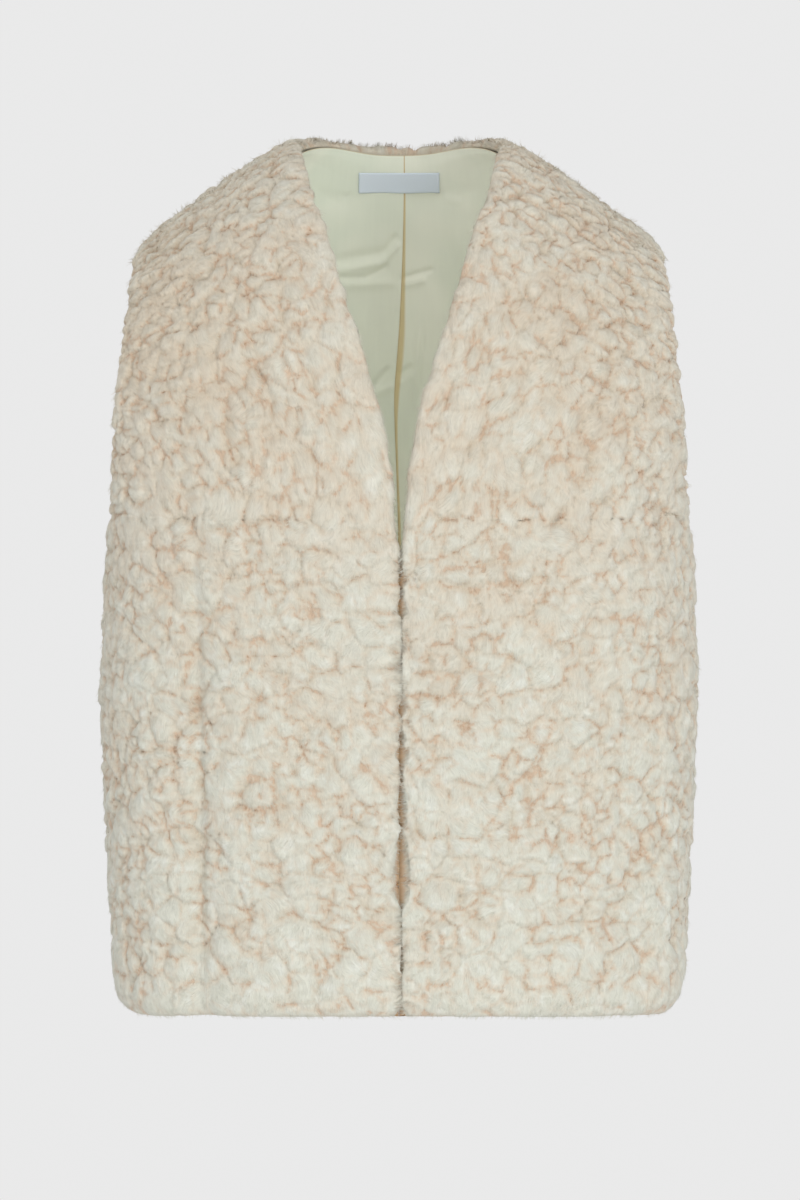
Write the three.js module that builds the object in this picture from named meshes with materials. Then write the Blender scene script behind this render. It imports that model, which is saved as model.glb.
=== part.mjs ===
// A sleeveless open-front vest in thick curly pile cloth with a V neck, filled out as if worn.
// It is cut as two fronts and one back with a smooth lining inside each, and a blank woven label.
// Units are millimetres. X runs to the wearer's left, -Y to the front and Z up.
// The origin lies midway between the two places where the shoulders carry the vest.
import * as THREE from 'three';

// Driving sizes
const PILE = 13; // pile cloth, from its backing to the tips of the hair
const PILE_EDGE = 4; // the same cloth where it turns in at an open edge
const EDGE_ROUND = 12; // how far in from an open edge the pile reaches its full height
const LINING = 1;
const LABEL = 0.5;
const PLY_GAP = 0.7; // between the backing and the lining
const LABEL_GAP = 0.4;
const SEAM_EASE = 1.2; // the lining stands this much further in along the shoulder seams and the neckline
const SEAM_GAP = 0.4; // between two panels at a seam
const BODY_LENGTH = 610; // neck point to hem
const UNDERARM_DROP = 264; // neck point down to the underarm
const OVER_SHOULDER = 320; // cloth from the underarm level over the chest to the shoulder seam
const NECK_X = 78; // neck point, out from the centre
const REST_X = 130; // where a shoulder carries the vest
const HEM_LIFT = 8; // the chest holds the front hem up by this much at the centre
const SHOULDER_SLOPE = 0.6; // drop for each millimetre outwards at the neck point
const SHOULDER_ROLL = 0.0011; // and the steeper it gets towards the arm
const CREST_ROUND = 25; // rounds the two slopes into each other behind the neck
const SECTION_POWER = 2.5; // 2 is an ellipse, and more is boxier
const NAPE_SHARE = 0.48; // how far back the neckline reaches, as a share of the back's depth
const ARMHOLE = { front: 0.7, back: 0.78, round: 0.36 }; // how far they are cut in, as a share of the depth
const LINING_INSET = 5; // lining edge, in from the pile's edge
const NECK_INSET = 1.5; // the same at the back neckline, where the seam lies just below the rim
const LINING_HEM_RISE = 14; // lining hem, up from the pile's hem
const TUFT = { across: 31, up: 28, relief: 6, jitter: 0.3, reach: 0.7 }; // curls of the pile
const CALM_NECK = 70; // the curls flatten within this distance of the neck points
const PLEAT = { run: 14, step: 2.2, turn: 0.6, grows: 60, lean: 6 }; // ease pleat down the back lining
const LABEL_SIZE = { width: 58.5, height: 14.4, below: 11.8 };

// How finely the cloth is divided
const FRONT_COLUMNS = 21;
const BACK_COLUMNS = 42; // both halves together
const NECK_COLUMNS = 9; // of each half, from the centre back to the neck point
const ROWS = 54;
const COARSE = 3; // outer cells for each inner cell, each way
const EDGE_CELL = 0.45; // width of a cell along an edge for each even one, so that the edge can be rounded
const LABEL_COLUMNS = 6;
const PLEAT_STOPS = [-0.75, -0.34, 0.035, 0.4]; // more lining columns at the pleat, in cells from the centre
const CURVE_STEPS = 96; // samples along a row, used to space its points evenly
const STEP = 0.004; // of a panel's width and height, for finding which way is out
const MOST_OF_CELL = 0.9;
const SMALL = 1e-3;

// Outside half width and depths, going up the cloth from the hem
const SECTIONS = [
  { up: 0, halfWidth: 203, front: 112, back: 104 },
  { up: 52, halfWidth: 205, front: 114, back: 106 },
  { up: 132, halfWidth: 208, front: 117, back: 108 },
  { up: 212, halfWidth: 211, front: 121, back: 110 },
  { up: 282, halfWidth: 209, front: 126, back: 112 },
  { up: 346, halfWidth: 206, front: 130, back: 114 },
  { up: 400, halfWidth: 204, front: 130, back: 114 },
  { up: 453, halfWidth: 200, front: 130, back: 114 },
  { up: 506, halfWidth: 195, front: 130, back: 114 },
  { up: 560, halfWidth: 191, front: 130, back: 114 },
  { up: 613, halfWidth: 189, front: 130, back: 114 },
  { up: 666, halfWidth: 188, front: 130, back: 114 },
];

// Half of the gap between the two fronts, going up the cloth from the hem
const OPENING = [
  { up: 0, halfGap: 2 },
  { up: 300, halfGap: 1.5 },
  { up: 326, halfGap: 2 },
  { up: 356, halfGap: 5 },
  { up: 394, halfGap: 13 },
  { up: 421, halfGap: 23 },
  { up: 462, halfGap: 39 },
  { up: 497, halfGap: 49 },
  { up: 553, halfGap: 65 },
  { up: 666, halfGap: NECK_X },
];

// Soft troughs that hang in the cloth: across is measured from the front edge or the centre back.
// Each is deepest a little below its middle and dies out towards its head.
const FOLD_SHIFT = 0.15;
const FOLDS = [
  { panel: 'front_right', across: 138, foot: -40, head: 400, width: 22, depth: 6, lean: 6 },
  { panel: 'front_right', across: 62, foot: 150, head: 330, width: 20, depth: 2.5, lean: -14 },
  { panel: 'front_left', across: 165, foot: -40, head: 300, width: 24, depth: 4, lean: -5 },
  { panel: 'front_left', across: 96, foot: 60, head: 260, width: 20, depth: 2, lean: 8 },
  { panel: 'back', across: 118, foot: -40, head: 330, width: 26, depth: 5, lean: 8 },
  { panel: 'back', across: -102, foot: -40, head: 290, width: 24, depth: 4.5, lean: -10 },
  { panel: 'back', across: 14, foot: -40, head: 220, width: 30, depth: 3, lean: 5 },
];

const CLOTH = {
  pile: { color: 0xdcd6c4, roughness: 0.95, metalness: 0 },
  lining: { color: 0xd9dac6, roughness: 0.45, metalness: 0 },
  label: { color: 0xd6dde0, roughness: 0.5, metalness: 0 },
};
const CURL_SEED = { front_right: 3, front_left: 11, back: 19 };

// Heights worked out from the sizes above
const crestRun = (x) => Math.hypot(x, CREST_ROUND) - Math.hypot(NECK_X, CREST_ROUND);
const crestDrop = (x) => SHOULDER_SLOPE * crestRun(x) + SHOULDER_ROLL * Math.max(0, x - NECK_X) ** 2;
const NECK_Z = PILE + PLY_GAP + LINING + crestDrop(REST_X);
const HEM_Z = NECK_Z - BODY_LENGTH;
const UNDERARM_Z = NECK_Z - UNDERARM_DROP;
const STRAIGHT = BODY_LENGTH - UNDERARM_DROP;
const FULL_UP = STRAIGHT + OVER_SHOULDER;
const crestHeight = (x) => NECK_Z - crestDrop(x);

// Reads a column of a table between its rows, smoothly
function lookup(table, column, up) {
  const last = table.length - 1;
  if (up <= table[0].up) return table[0][column];
  if (up >= table[last].up) return table[last][column];
  const next = table.findIndex((row) => row.up > up);
  const at = (i) => table[Math.min(last, Math.max(0, i))];
  const [a, b, c, d] = [at(next - 2), at(next - 1), at(next), at(next + 1)];
  const slopeAt = (before, after) => (after[column] - before[column]) / Math.max(after.up - before.up, SMALL);
  const run = c.up - b.up;
  const t = (up - b.up) / run;
  const start = slopeAt(a, c) * run;
  const end = slopeAt(b, d) * run;
  const rise = c[column] - b[column];
  return b[column] + t * (start + t * (3 * rise - 2 * start - end + t * (start + end - 2 * rise)));
}

// A repeatable number from 0 to 1 for a place in a lattice
const SCATTER = { column: 127.1, row: 311.7, seed: 74.7, spread: 43758.5453 };

function scatter(i, j, seed) {
  const wave = Math.sin(i * SCATTER.column + j * SCATTER.row + seed * SCATTER.seed) * SCATTER.spread;
  return wave - Math.floor(wave);
}

// Height of the pile's curls, 1 at the middle of a curl and 0 between curls
function tuftHeight(across, up, seed) {
  const column = Math.floor(across / TUFT.across);
  const row = Math.floor(up / TUFT.up);
  let nearest = 1;
  for (let j = row - 1; j <= row + 1; j++) {
    const brick = 0.5 * (Math.abs(j) % 2);
    for (let i = column - 1; i <= column + 1; i++) {
      const x = (i + brick + TUFT.jitter * (2 * scatter(i, j, seed) - 1)) * TUFT.across;
      const y = (j + 0.5 + TUFT.jitter * (2 * scatter(i, j, seed + 1) - 1)) * TUFT.up;
      nearest = Math.min(nearest, Math.hypot((across - x) / TUFT.across, (up - y) / TUFT.up));
    }
  }
  return 1 - Math.min(1, (nearest / TUFT.reach) ** 2);
}

// How far the hanging folds push a point in
function foldDepth(panel, across, up) {
  let depth = 0;
  for (const fold of FOLDS) {
    if (fold.panel !== panel || up < fold.foot || up > fold.head) continue;
    const share = (up - fold.foot) / (fold.head - fold.foot);
    const away = (across - fold.across - fold.lean * share) / fold.width;
    depth += fold.depth * Math.sin(Math.PI * Math.min(1, share + FOLD_SHIFT)) * Math.exp(-away * away);
  }
  return depth;
}

// One row of the outside, on the wearer's left, from the opening or the centre back to the side
function sectionRow(side, up) {
  const turn = Math.max(0, (up - STRAIGHT) / OVER_SHOULDER) * (Math.PI / 2);
  const depth = lookup(SECTIONS, side, up) * Math.cos(turn);
  const armholeCut = ARMHOLE[side] * Math.sin(turn) ** ARMHOLE.round;
  const endAngle = Math.acos(armholeCut ** (SECTION_POWER / 2));
  const reach = lookup(SECTIONS, 'halfWidth', up) / Math.sin(endAngle) ** (2 / SECTION_POWER);
  const startX = side === 'back' ? 0 : lookup(OPENING, 'halfGap', up);
  const startAngle = Math.asin((startX / reach) ** (SECTION_POWER / 2));
  const points = [];
  const lengths = [0];
  for (let i = 0; i <= CURVE_STEPS; i++) {
    const angle = startAngle + ((endAngle - startAngle) * i) / CURVE_STEPS;
    const x = reach * Math.sin(angle) ** (2 / SECTION_POWER);
    const y = depth * Math.max(0, Math.cos(angle)) ** (2 / SECTION_POWER) * (side === 'back' ? 1 : -1);
    const climb = Math.sin(turn) * (crestHeight(x) - UNDERARM_Z);
    const lift = y < 0 ? HEM_LIFT * Math.max(0, 1 - up / STRAIGHT) ** 2 * (y / depth) ** 2 : 0;
    const z = turn > 0 ? UNDERARM_Z + climb : HEM_Z + up + lift;
    points.push(new THREE.Vector3(x, y, z));
    if (i) lengths.push(lengths[i - 1] + points[i].distanceTo(points[i - 1]));
  }
  return { points, lengths, length: lengths[CURVE_STEPS] };
}

// The point at a share of a row's length
function alongRow(row, share) {
  const target = share * row.length;
  let i = row.lengths.findIndex((length) => length >= target);
  if (i < 1) i = 1;
  const t = (target - row.lengths[i - 1]) / Math.max(row.lengths[i] - row.lengths[i - 1], SMALL);
  return row.points[i - 1].clone().lerp(row.points[i], t);
}

// Even spacing from 0 to 1 with a narrower first and last cell
function spaced(i, count) {
  if (i === 0 || i === count) return i / count;
  return (i - 1 + EDGE_CELL) / (count - 2 + 2 * EDGE_CELL);
}

// The neck point's place on the back's top row, as a share of its half width
const NECK_SHARE = neckShare();

function neckShare() {
  const row = sectionRow('back', FULL_UP);
  const i = row.points.findIndex((point) => point.x >= NECK_X);
  const [a, b] = [row.points[i - 1].x, row.points[i].x];
  const length = row.lengths[i - 1] + ((NECK_X - a) / (b - a)) * (row.lengths[i] - row.lengths[i - 1]);
  return length / row.length;
}

// Where a panel's column lies: 0 is the opening or the centre back, 1 a side, and -1 the other side
function columnShare(panel, i) {
  if (panel !== 'back') return spaced(i, FRONT_COLUMNS);
  const half = BACK_COLUMNS / 2;
  const k = Math.abs(i - half);
  const rest = half - NECK_COLUMNS;
  const beyond = k === half ? 1 : (k - NECK_COLUMNS) / (rest - 1 + EDGE_CELL);
  const share = k <= NECK_COLUMNS ? (k / NECK_COLUMNS) * NECK_SHARE : NECK_SHARE + (1 - NECK_SHARE) * beyond;
  return i < half ? -share : share;
}

// The highest row of the back at a share of its half width: the neckline, then the shoulder seam
function backTop(share) {
  const inNeck = Math.max(0, 1 - (share / NECK_SHARE) ** 2);
  const turn = Math.acos(NAPE_SHARE * inNeck);
  return STRAIGHT + (OVER_SHOULDER * turn) / (Math.PI / 2);
}

// How far up the cloth a row lies, with its rows drawn together below the neckline only
function climbOf(v, top) {
  const underarm = STRAIGHT / FULL_UP;
  if (v <= underarm) return v * FULL_UP;
  return STRAIGHT + ((v - underarm) / (1 - underarm)) * (top - STRAIGHT);
}

// Where a point of a panel lies on the outside, how far it is from open edges and which way is out
function panelPoint(panel, u, v) {
  const side = panel === 'back' ? 'back' : 'front';
  const mirror = panel === 'front_right' || u < 0 ? -1 : 1;
  const share = Math.abs(u);
  const topAt = (s) => (side === 'back' ? backTop(s) : FULL_UP);
  const place = (s, w) => {
    const up = climbOf(w, topAt(s));
    const row = sectionRow(side, up);
    return { point: alongRow(row, s), up, row };
  };
  const here = place(share, v);
  const s0 = Math.max(0, share - STEP);
  const s1 = Math.min(1, share + STEP);
  const v0 = Math.max(0, v - STEP);
  const v1 = Math.min(1, v + STEP);
  const acrossCloth = place(s1, v).point.sub(place(s0, v).point);
  const upCloth = place(share, v1).point.sub(place(share, v0).point);
  const out = acrossCloth.cross(upCloth).normalize();
  if (side === 'back') out.negate();
  if (side === 'back' && share === 0) out.x = 0;
  const across = share * here.row.length;
  const toArmhole = Math.hypot((1 - share) * here.row.length, Math.max(0, STRAIGHT - here.up));
  const toNeckPoint = Math.hypot((share - NECK_SHARE) * here.row.length, FULL_UP - here.up);
  const toNeckline = share < NECK_SHARE ? Math.min(toNeckPoint, topAt(share) - here.up) : toNeckPoint;
  const toOpening = side === 'back' ? toNeckline : across;
  const signed = side === 'back' && u < 0 ? -across : across;
  const edge = [here.up, toOpening, toArmhole];
  here.point.addScaledVector(out, -foldDepth(panel, signed, here.up));
  here.point.x *= mirror;
  out.x *= mirror;
  const calm = side === 'back' ? Math.min(1, toNeckPoint / CALM_NECK) : 1;
  return { point: here.point, out, edge, calm, across: signed, up: here.up };
}

// Keeps a panel on its own side of the side and shoulder seams
function keptApart(panel, point) {
  const half = SEAM_GAP / 2;
  point.y = panel === 'back' ? Math.max(point.y, half) : Math.min(point.y, -half);
  if (panel !== 'back') point.x = panel === 'front_left' ? Math.max(point.x, half) : Math.min(point.x, -half);
  return point;
}

// How much of the pile's height stands at a distance from an open edge
function roundedOff(distance) {
  const share = Math.min(1, Math.max(0, distance / EDGE_ROUND));
  return Math.sqrt(1 - (1 - share) ** 2);
}

// The pile cloth's outer points, with curls and rounded edges, and its plain backing points
function pileGrids(panel, columns) {
  const outer = [];
  const backing = [];
  for (let j = 0; j <= ROWS; j++) {
    const outerRow = [];
    const backingRow = [];
    for (let i = 0; i <= columns; i++) {
      const at = panelPoint(panel, columnShare(panel, i), spaced(j, ROWS));
      const standing = at.edge.reduce((share, distance) => share * roundedOff(distance), 1);
      const curl = TUFT.relief * at.calm * (1 - tuftHeight(at.across, at.up, CURL_SEED[panel]));
      const height = PILE_EDGE + (PILE - PILE_EDGE - curl) * standing;
      const tips = at.point.clone().addScaledVector(at.out, height - PILE);
      outerRow.push(keptApart(panel, tips));
      if (i % COARSE === 0 && j % COARSE === 0) {
        const point = keptApart(panel, at.point.clone().addScaledVector(at.out, -PILE));
        backingRow.push({ point, out: at.out });
      }
    }
    outer.push(outerRow);
    if (j % COARSE === 0) backing.push(backingRow);
  }
  return { outer, backing };
}

// A grid's border as one loop of index pairs
function border(rows, columns) {
  const loop = [];
  for (let i = 0; i < columns; i++) loop.push([0, i]);
  for (let j = 0; j < rows; j++) loop.push([j, columns]);
  for (let i = columns; i > 0; i--) loop.push([rows, i]);
  for (let j = rows; j > 0; j--) loop.push([j, 0]);
  return loop;
}

// Closes two grids of points into one wall; the second grid may be coarser by a whole number.
// A wall that spans both sides of the vest has its cells split the same way on each side.
function wallGeometry(nearGrid, farGrid, spansBoth = false) {
  const grids = [nearGrid, farGrid];
  const sizes = grids.map((grid) => ({ rows: grid.length - 1, columns: grid[0].length - 1 }));
  const coarse = sizes[0].rows / sizes[1].rows;
  const positions = grids.flat(2).flatMap((point) => point.toArray());
  const first = (sizes[0].rows + 1) * (sizes[0].columns + 1);
  const indexOf = (g, j, i) => (g ? first : 0) + j * (sizes[g].columns + 1) + i;
  const faces = [];
  for (const g of [0, 1]) {
    for (let j = 0; j < sizes[g].rows; j++) {
      for (let i = 0; i < sizes[g].columns; i++) {
        const [a, b] = [indexOf(g, j, i), indexOf(g, j, i + 1)];
        const [c, d] = [indexOf(g, j + 1, i + 1), indexOf(g, j + 1, i)];
        const cell = spansBoth && i < sizes[g].columns / 2 ? [b, c, d, a] : [a, b, c, d];
        if (g) faces.push(cell[0], cell[2], cell[1], cell[0], cell[3], cell[2]);
        else faces.push(cell[0], cell[1], cell[2], cell[0], cell[2], cell[3]);
      }
    }
  }
  const nearLoop = border(sizes[0].rows, sizes[0].columns).map(([j, i]) => indexOf(0, j, i));
  const farLoop = border(sizes[1].rows, sizes[1].columns).map(([j, i]) => indexOf(1, j, i));
  farLoop.forEach((far, k) => {
    const nextFar = farLoop[(k + 1) % farLoop.length];
    const half = Math.floor(coarse / 2);
    for (let m = 0; m < coarse; m++) {
      const near = nearLoop[k * coarse + m];
      const nextNear = nearLoop[(k * coarse + m + 1) % nearLoop.length];
      if (m === half) faces.push(near, far, nextFar);
      faces.push(near, m < half ? far : nextFar, nextNear);
    }
  });
  const geometry = new THREE.BufferGeometry();
  geometry.setAttribute('position', new THREE.Float32BufferAttribute(positions, 3));
  geometry.setIndex(faces);
  return facingOut(geometry);
}

// Turns every face round if the solid is inside out
function facingOut(geometry) {
  const p = geometry.getAttribute('position');
  const index = geometry.getIndex();
  const [a, b, c] = [new THREE.Vector3(), new THREE.Vector3(), new THREE.Vector3()];
  let volume = 0;
  for (let k = 0; k < index.count; k += 3) {
    a.fromBufferAttribute(p, index.getX(k));
    b.fromBufferAttribute(p, index.getX(k + 1));
    c.fromBufferAttribute(p, index.getX(k + 2));
    volume += a.dot(b.cross(c));
  }
  if (volume < 0) {
    for (let k = 0; k < index.count; k += 3) {
      const held = index.getX(k + 1);
      index.setX(k + 1, index.getX(k + 2));
      index.setX(k + 2, held);
    }
  }
  geometry.computeVertexNormals();
  return geometry;
}

// A place on the backing between its points, moved in by a distance
function onBacking(backing, column, row, inwards) {
  const i = Math.min(backing[0].length - 2, Math.max(0, Math.floor(column)));
  const j = Math.min(backing.length - 2, Math.max(0, Math.floor(row)));
  const mix = (key) => {
    const low = backing[j][i][key].clone().lerp(backing[j][i + 1][key], column - i);
    const high = backing[j + 1][i][key].clone().lerp(backing[j + 1][i + 1][key], column - i);
    return low.lerp(high, row - j);
  };
  return mix('point').addScaledVector(mix('out').normalize(), -inwards);
}

// The share of a cell that a distance covers, between two points of the backing
function cellShare(a, b, distance) {
  return Math.min(MOST_OF_CELL, distance / a.point.distanceTo(b.point));
}

// Height of the pleat above the lining at a distance across from the centre back
function pleatHeight(across, drop) {
  const edge = -PLEAT.lean * (drop / BODY_LENGTH);
  const underLabel = LABEL_SIZE.below + LABEL_SIZE.height;
  const grown = Math.min(1, Math.max(0, (drop - underLabel) / PLEAT.grows));
  const from = (across - edge + PLEAT.run) / PLEAT.run;
  if (from <= 0 || across > edge + PLEAT.turn) return 0;
  const ridge = across <= edge ? from : 1 - (across - edge) / PLEAT.turn;
  return PLEAT.step * grown * ridge;
}

// Lining columns that fall between the backing's own, so that the pleat has its steps
function liningColumns(panel, cells) {
  const whole = Array.from({ length: cells + 1 }, (_, i) => i);
  if (panel !== 'back') return whole;
  return [...whole, ...PLEAT_STOPS.map((stop) => cells / 2 + stop)].sort((a, b) => a - b);
}

// The lining's two faces, from the backing's own points moved in
function liningGrids(panel, backing) {
  const rows = backing.length - 1;
  const cells = backing[0].length - 1;
  const napeZ = backing[rows][Math.round(cells / 2)].point.z;
  const isNeck = (column) => panel === 'back' && Math.abs(column - cells / 2) * COARSE < NECK_COLUMNS;
  const near = [];
  const far = [];
  for (let j = 0; j <= rows; j++) {
    const line = backing[j];
    const atArmhole = panelPoint('back', 1, spaced(j * COARSE, ROWS)).up > STRAIGHT + LINING_INSET;
    const nearRow = [];
    const farRow = [];
    for (const column of liningColumns(panel, cells)) {
      let across = column;
      const startsOpen = panel !== 'back' || atArmhole;
      if (column === 0 && startsOpen) across = cellShare(line[0], line[1], LINING_INSET);
      if (column === cells && atArmhole) across = cells - cellShare(line[cells], line[cells - 1], LINING_INSET);
      const nearest = Math.min(cells, Math.round(column));
      let up = j;
      if (j === 0) up = cellShare(line[nearest], backing[1][nearest], LINING_HEM_RISE);
      if (j === rows && isNeck(column)) {
        up = rows - cellShare(line[nearest], backing[rows - 1][nearest], NECK_INSET);
      }
      const seat = PLY_GAP + (j >= rows - 1 ? SEAM_EASE : 0);
      const base = onBacking(backing, across, up, seat);
      const drop = napeZ - base.z;
      const pleat = panel === 'back' ? pleatHeight(base.x, drop) : 0;
      farRow.push(keptApart(panel, base));
      nearRow.push(keptApart(panel, onBacking(backing, across, up, seat + LINING + pleat)));
    }
    near.push(nearRow);
    far.push(farRow);
  }
  return { near, far };
}

// Finds the fractional column or row of the backing where a coordinate passes a value
function crossing(points, axis, value) {
  for (let k = 1; k < points.length; k++) {
    const [a, b] = [points[k - 1][axis], points[k][axis]];
    if ((a - value) * (b - value) <= 0 && a !== b) return k - 1 + (value - a) / (b - a);
  }
  return 0;
}

// The woven label, laid on the back lining below the neck seam
function labelGrids(backing) {
  const middle = (backing[0].length - 1) / 2;
  const centreLine = backing.map((row) => row[middle].point);
  const neckEdge = centreLine[centreLine.length - 1].z;
  const near = [];
  const far = [];
  for (const rise of [0, 0.5, 1]) {
    const z = neckEdge - LABEL_SIZE.below - LABEL_SIZE.height * (1 - rise);
    const row = crossing(centreLine, 'z', z);
    const line = backing[0].map((_, i) => onBacking(backing, i, row, 0));
    const nearRow = [];
    const farRow = [];
    const seat = PLY_GAP + SEAM_EASE + LINING + LABEL_GAP;
    for (let k = 0; k <= LABEL_COLUMNS; k++) {
      const column = crossing(line, 'x', LABEL_SIZE.width * (k / LABEL_COLUMNS - 0.5));
      farRow.push(onBacking(backing, column, row, seat));
      nearRow.push(onBacking(backing, column, row, seat + LABEL));
    }
    near.push(nearRow);
    far.push(farRow);
  }
  return { near, far };
}

function namedMesh(name, geometry, cloth) {
  const mesh = new THREE.Mesh(geometry, new THREE.MeshStandardMaterial(cloth));
  mesh.name = name;
  return mesh;
}

const vest = new THREE.Group();
for (const panel of ['front_right', 'front_left', 'back']) {
  const columns = panel === 'back' ? BACK_COLUMNS : FRONT_COLUMNS;
  const { outer, backing } = pileGrids(panel, columns);
  const spansBoth = panel === 'back';
  const inner = backing.map((row) => row.map((cell) => cell.point));
  vest.add(namedMesh(`pile_${panel}`, wallGeometry(outer, inner, spansBoth), CLOTH.pile));
  const { near, far } = liningGrids(panel, backing);
  vest.add(namedMesh(`lining_${panel}`, wallGeometry(far, near, spansBoth), CLOTH.lining));
  if (panel === 'back') {
    const label = labelGrids(backing);
    vest.add(namedMesh('neck_label', wallGeometry(label.far, label.near), CLOTH.label));
  }
}

export default vest;
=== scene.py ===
# %% [markdown]
# A sleeveless vest in thick curly pile cloth, open in front and filled out as if worn.
# The imported model gives its walls. This file puts the real surface on them: pile in soft curls with
# tinted, shade-painted partings, loose hair, a smooth lining with an ease pleat, and a blank woven label.

# %% Load the imported model
import math

import bmesh
import bpy
import numpy as np
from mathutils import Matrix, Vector


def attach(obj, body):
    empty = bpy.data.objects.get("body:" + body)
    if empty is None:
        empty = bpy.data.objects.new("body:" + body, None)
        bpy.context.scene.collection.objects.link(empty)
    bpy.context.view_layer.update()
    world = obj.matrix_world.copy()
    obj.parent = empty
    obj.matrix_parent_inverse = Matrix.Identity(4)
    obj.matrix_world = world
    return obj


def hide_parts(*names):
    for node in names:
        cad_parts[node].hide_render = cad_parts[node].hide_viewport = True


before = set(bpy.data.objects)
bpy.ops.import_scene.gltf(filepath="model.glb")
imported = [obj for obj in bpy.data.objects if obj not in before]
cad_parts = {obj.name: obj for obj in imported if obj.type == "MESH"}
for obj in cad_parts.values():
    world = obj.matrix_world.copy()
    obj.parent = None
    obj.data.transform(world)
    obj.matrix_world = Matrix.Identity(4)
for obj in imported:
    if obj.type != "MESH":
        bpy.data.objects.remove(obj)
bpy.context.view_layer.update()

print("nodes:", ", ".join(sorted(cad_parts)))

# %% [markdown]
# The camera comes first. A long lens far away keeps the near and far sides at almost one scale, as in
# a shop picture. It looks a little down on the vest, whose middle lies just above the frame's middle.

# %% Camera
MM = 0.001
IMAGE_HEIGHT_PX = 1200
PICTURE_SCALE = 0.70 * MM  # metres for each pixel, at the depth of the side seams
CAMERA_DISTANCE = 3.2
CAMERA_ELEVATION = math.radians(3)
SENSOR = 36.0
AIM = Vector((0.0007, 0.0, -0.2753))


def make_camera():
    data = bpy.data.cameras.new("studio_camera")
    data.sensor_width = SENSOR
    data.lens = SENSOR * CAMERA_DISTANCE / (PICTURE_SCALE * IMAGE_HEIGHT_PX)
    camera = bpy.data.objects.new("studio_camera", data)
    bpy.context.scene.collection.objects.link(camera)
    away = Vector((0, -math.cos(CAMERA_ELEVATION), math.sin(CAMERA_ELEVATION)))
    camera.location = AIM + away * CAMERA_DISTANCE
    camera.rotation_euler = (-away).to_track_quat("-Z", "Y").to_euler()
    bpy.context.scene.camera = camera
    return camera


camera = make_camera()
print(f"camera: {camera.data.lens:.0f} mm lens, {CAMERA_DISTANCE} m away")

# %% [markdown]
# The cloth hangs on one form, the same as the model's walls: level rows round the body up to the
# underarm, then rows that climb over the chest to the shoulder seam. Each row is a rounded box shape.
# A table gives its width and depths, so the whole form follows from a few sizes in millimetres.

# %% Sizes of the cloth form, in millimetres
PILE = 13.0
BODY_LENGTH = 610.0
UNDERARM_DROP = 264.0
OVER_SHOULDER = 320.0
NECK_X = 78.0
REST_X = 130.0
HEM_LIFT = 8.0
SHOULDER_SLOPE = 0.6
SHOULDER_ROLL = 0.0011
CREST_ROUND = 25.0
SECTION_POWER = 2.5
NAPE_SHARE = 0.48
ARMHOLE = {"front": 0.7, "back": 0.78}
ARMHOLE_ROUND = 0.36
PLY_GAP = 0.7
LINING = 1.0
STRAIGHT = BODY_LENGTH - UNDERARM_DROP
FULL_UP = STRAIGHT + OVER_SHOULDER

# Up the cloth from the hem, half width, depth in front and depth behind
SECTIONS = np.array([
    (0, 203, 112, 104),
    (52, 205, 114, 106),
    (132, 208, 117, 108),
    (212, 211, 121, 110),
    (282, 209, 126, 112),
    (346, 206, 130, 114),
    (400, 204, 130, 114),
    (453, 200, 130, 114),
    (506, 195, 130, 114),
    (560, 191, 130, 114),
    (613, 189, 130, 114),
    (666, 188, 130, 114),
], float)

# Up the cloth from the hem, and half of the gap between the fronts
OPENING = np.array([
    (0, 2), (300, 1.5), (326, 2), (356, 5), (394, 13), (421, 23),
    (462, 39), (497, 49), (553, 65), (666, NECK_X),
], float)

# Soft troughs: panel, across from the front edge or centre back, foot, head, width, depth, lean
FOLDS = [
    ("front_right", 138, -40, 400, 22, 6, 6),
    ("front_right", 140, 60, 480, 5, 4.0, 3),
    ("front_right", 137, -160, 260, 8, 3.0, 6),
    ("front_right", 62, 150, 330, 20, 2.5, -14),
    ("front_left", 165, -40, 300, 24, 4, -5),
    ("front_left", 96, 60, 260, 20, 2, 8),
    ("back", 118, -40, 330, 26, 5, 8),
    ("back", -102, -40, 290, 24, 4.5, -10),
    ("back", 14, -40, 220, 30, 3, 5),
]
FOLD_SHIFT = 0.15


def crest_drop(x):
    run = np.hypot(x, CREST_ROUND) - math.hypot(NECK_X, CREST_ROUND)
    return SHOULDER_SLOPE * run + SHOULDER_ROLL * np.clip(x - NECK_X, 0, None) ** 2


NECK_Z = PILE + PLY_GAP + LINING + float(crest_drop(np.array(REST_X)))
HEM_Z = NECK_Z - BODY_LENGTH
UNDERARM_Z = NECK_Z - UNDERARM_DROP
print(f"neck points at {NECK_Z:.1f} mm, hem at {HEM_Z:.1f} mm")

# %% Read a table smoothly between its rows


def read_table(table, column, up):
    """A cubic through the rows, with each row's slope taken from its neighbours."""
    place = np.clip(up, table[0, 0], table[-1, 0])
    b = np.clip(np.searchsorted(table[:, 0], place, side="right") - 1, 0, len(table) - 2)
    a, c, d = np.maximum(b - 1, 0), b + 1, np.minimum(b + 2, len(table) - 1)
    ups, values = table[:, 0], table[:, column]
    run = ups[c] - ups[b]
    t = (place - ups[b]) / run
    start = (values[c] - values[a]) / (ups[c] - ups[a]) * run
    end = (values[d] - values[b]) / (ups[d] - ups[b]) * run
    rise = values[c] - values[b]
    return values[b] + t * (start + t * (3 * rise - 2 * start - end + t * (start + end - 2 * rise)))


# %% The form as a fine table of points for each side
FORM_ROWS = 667
FORM_SHARES = 301
CURVE_STEPS = 400


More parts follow.
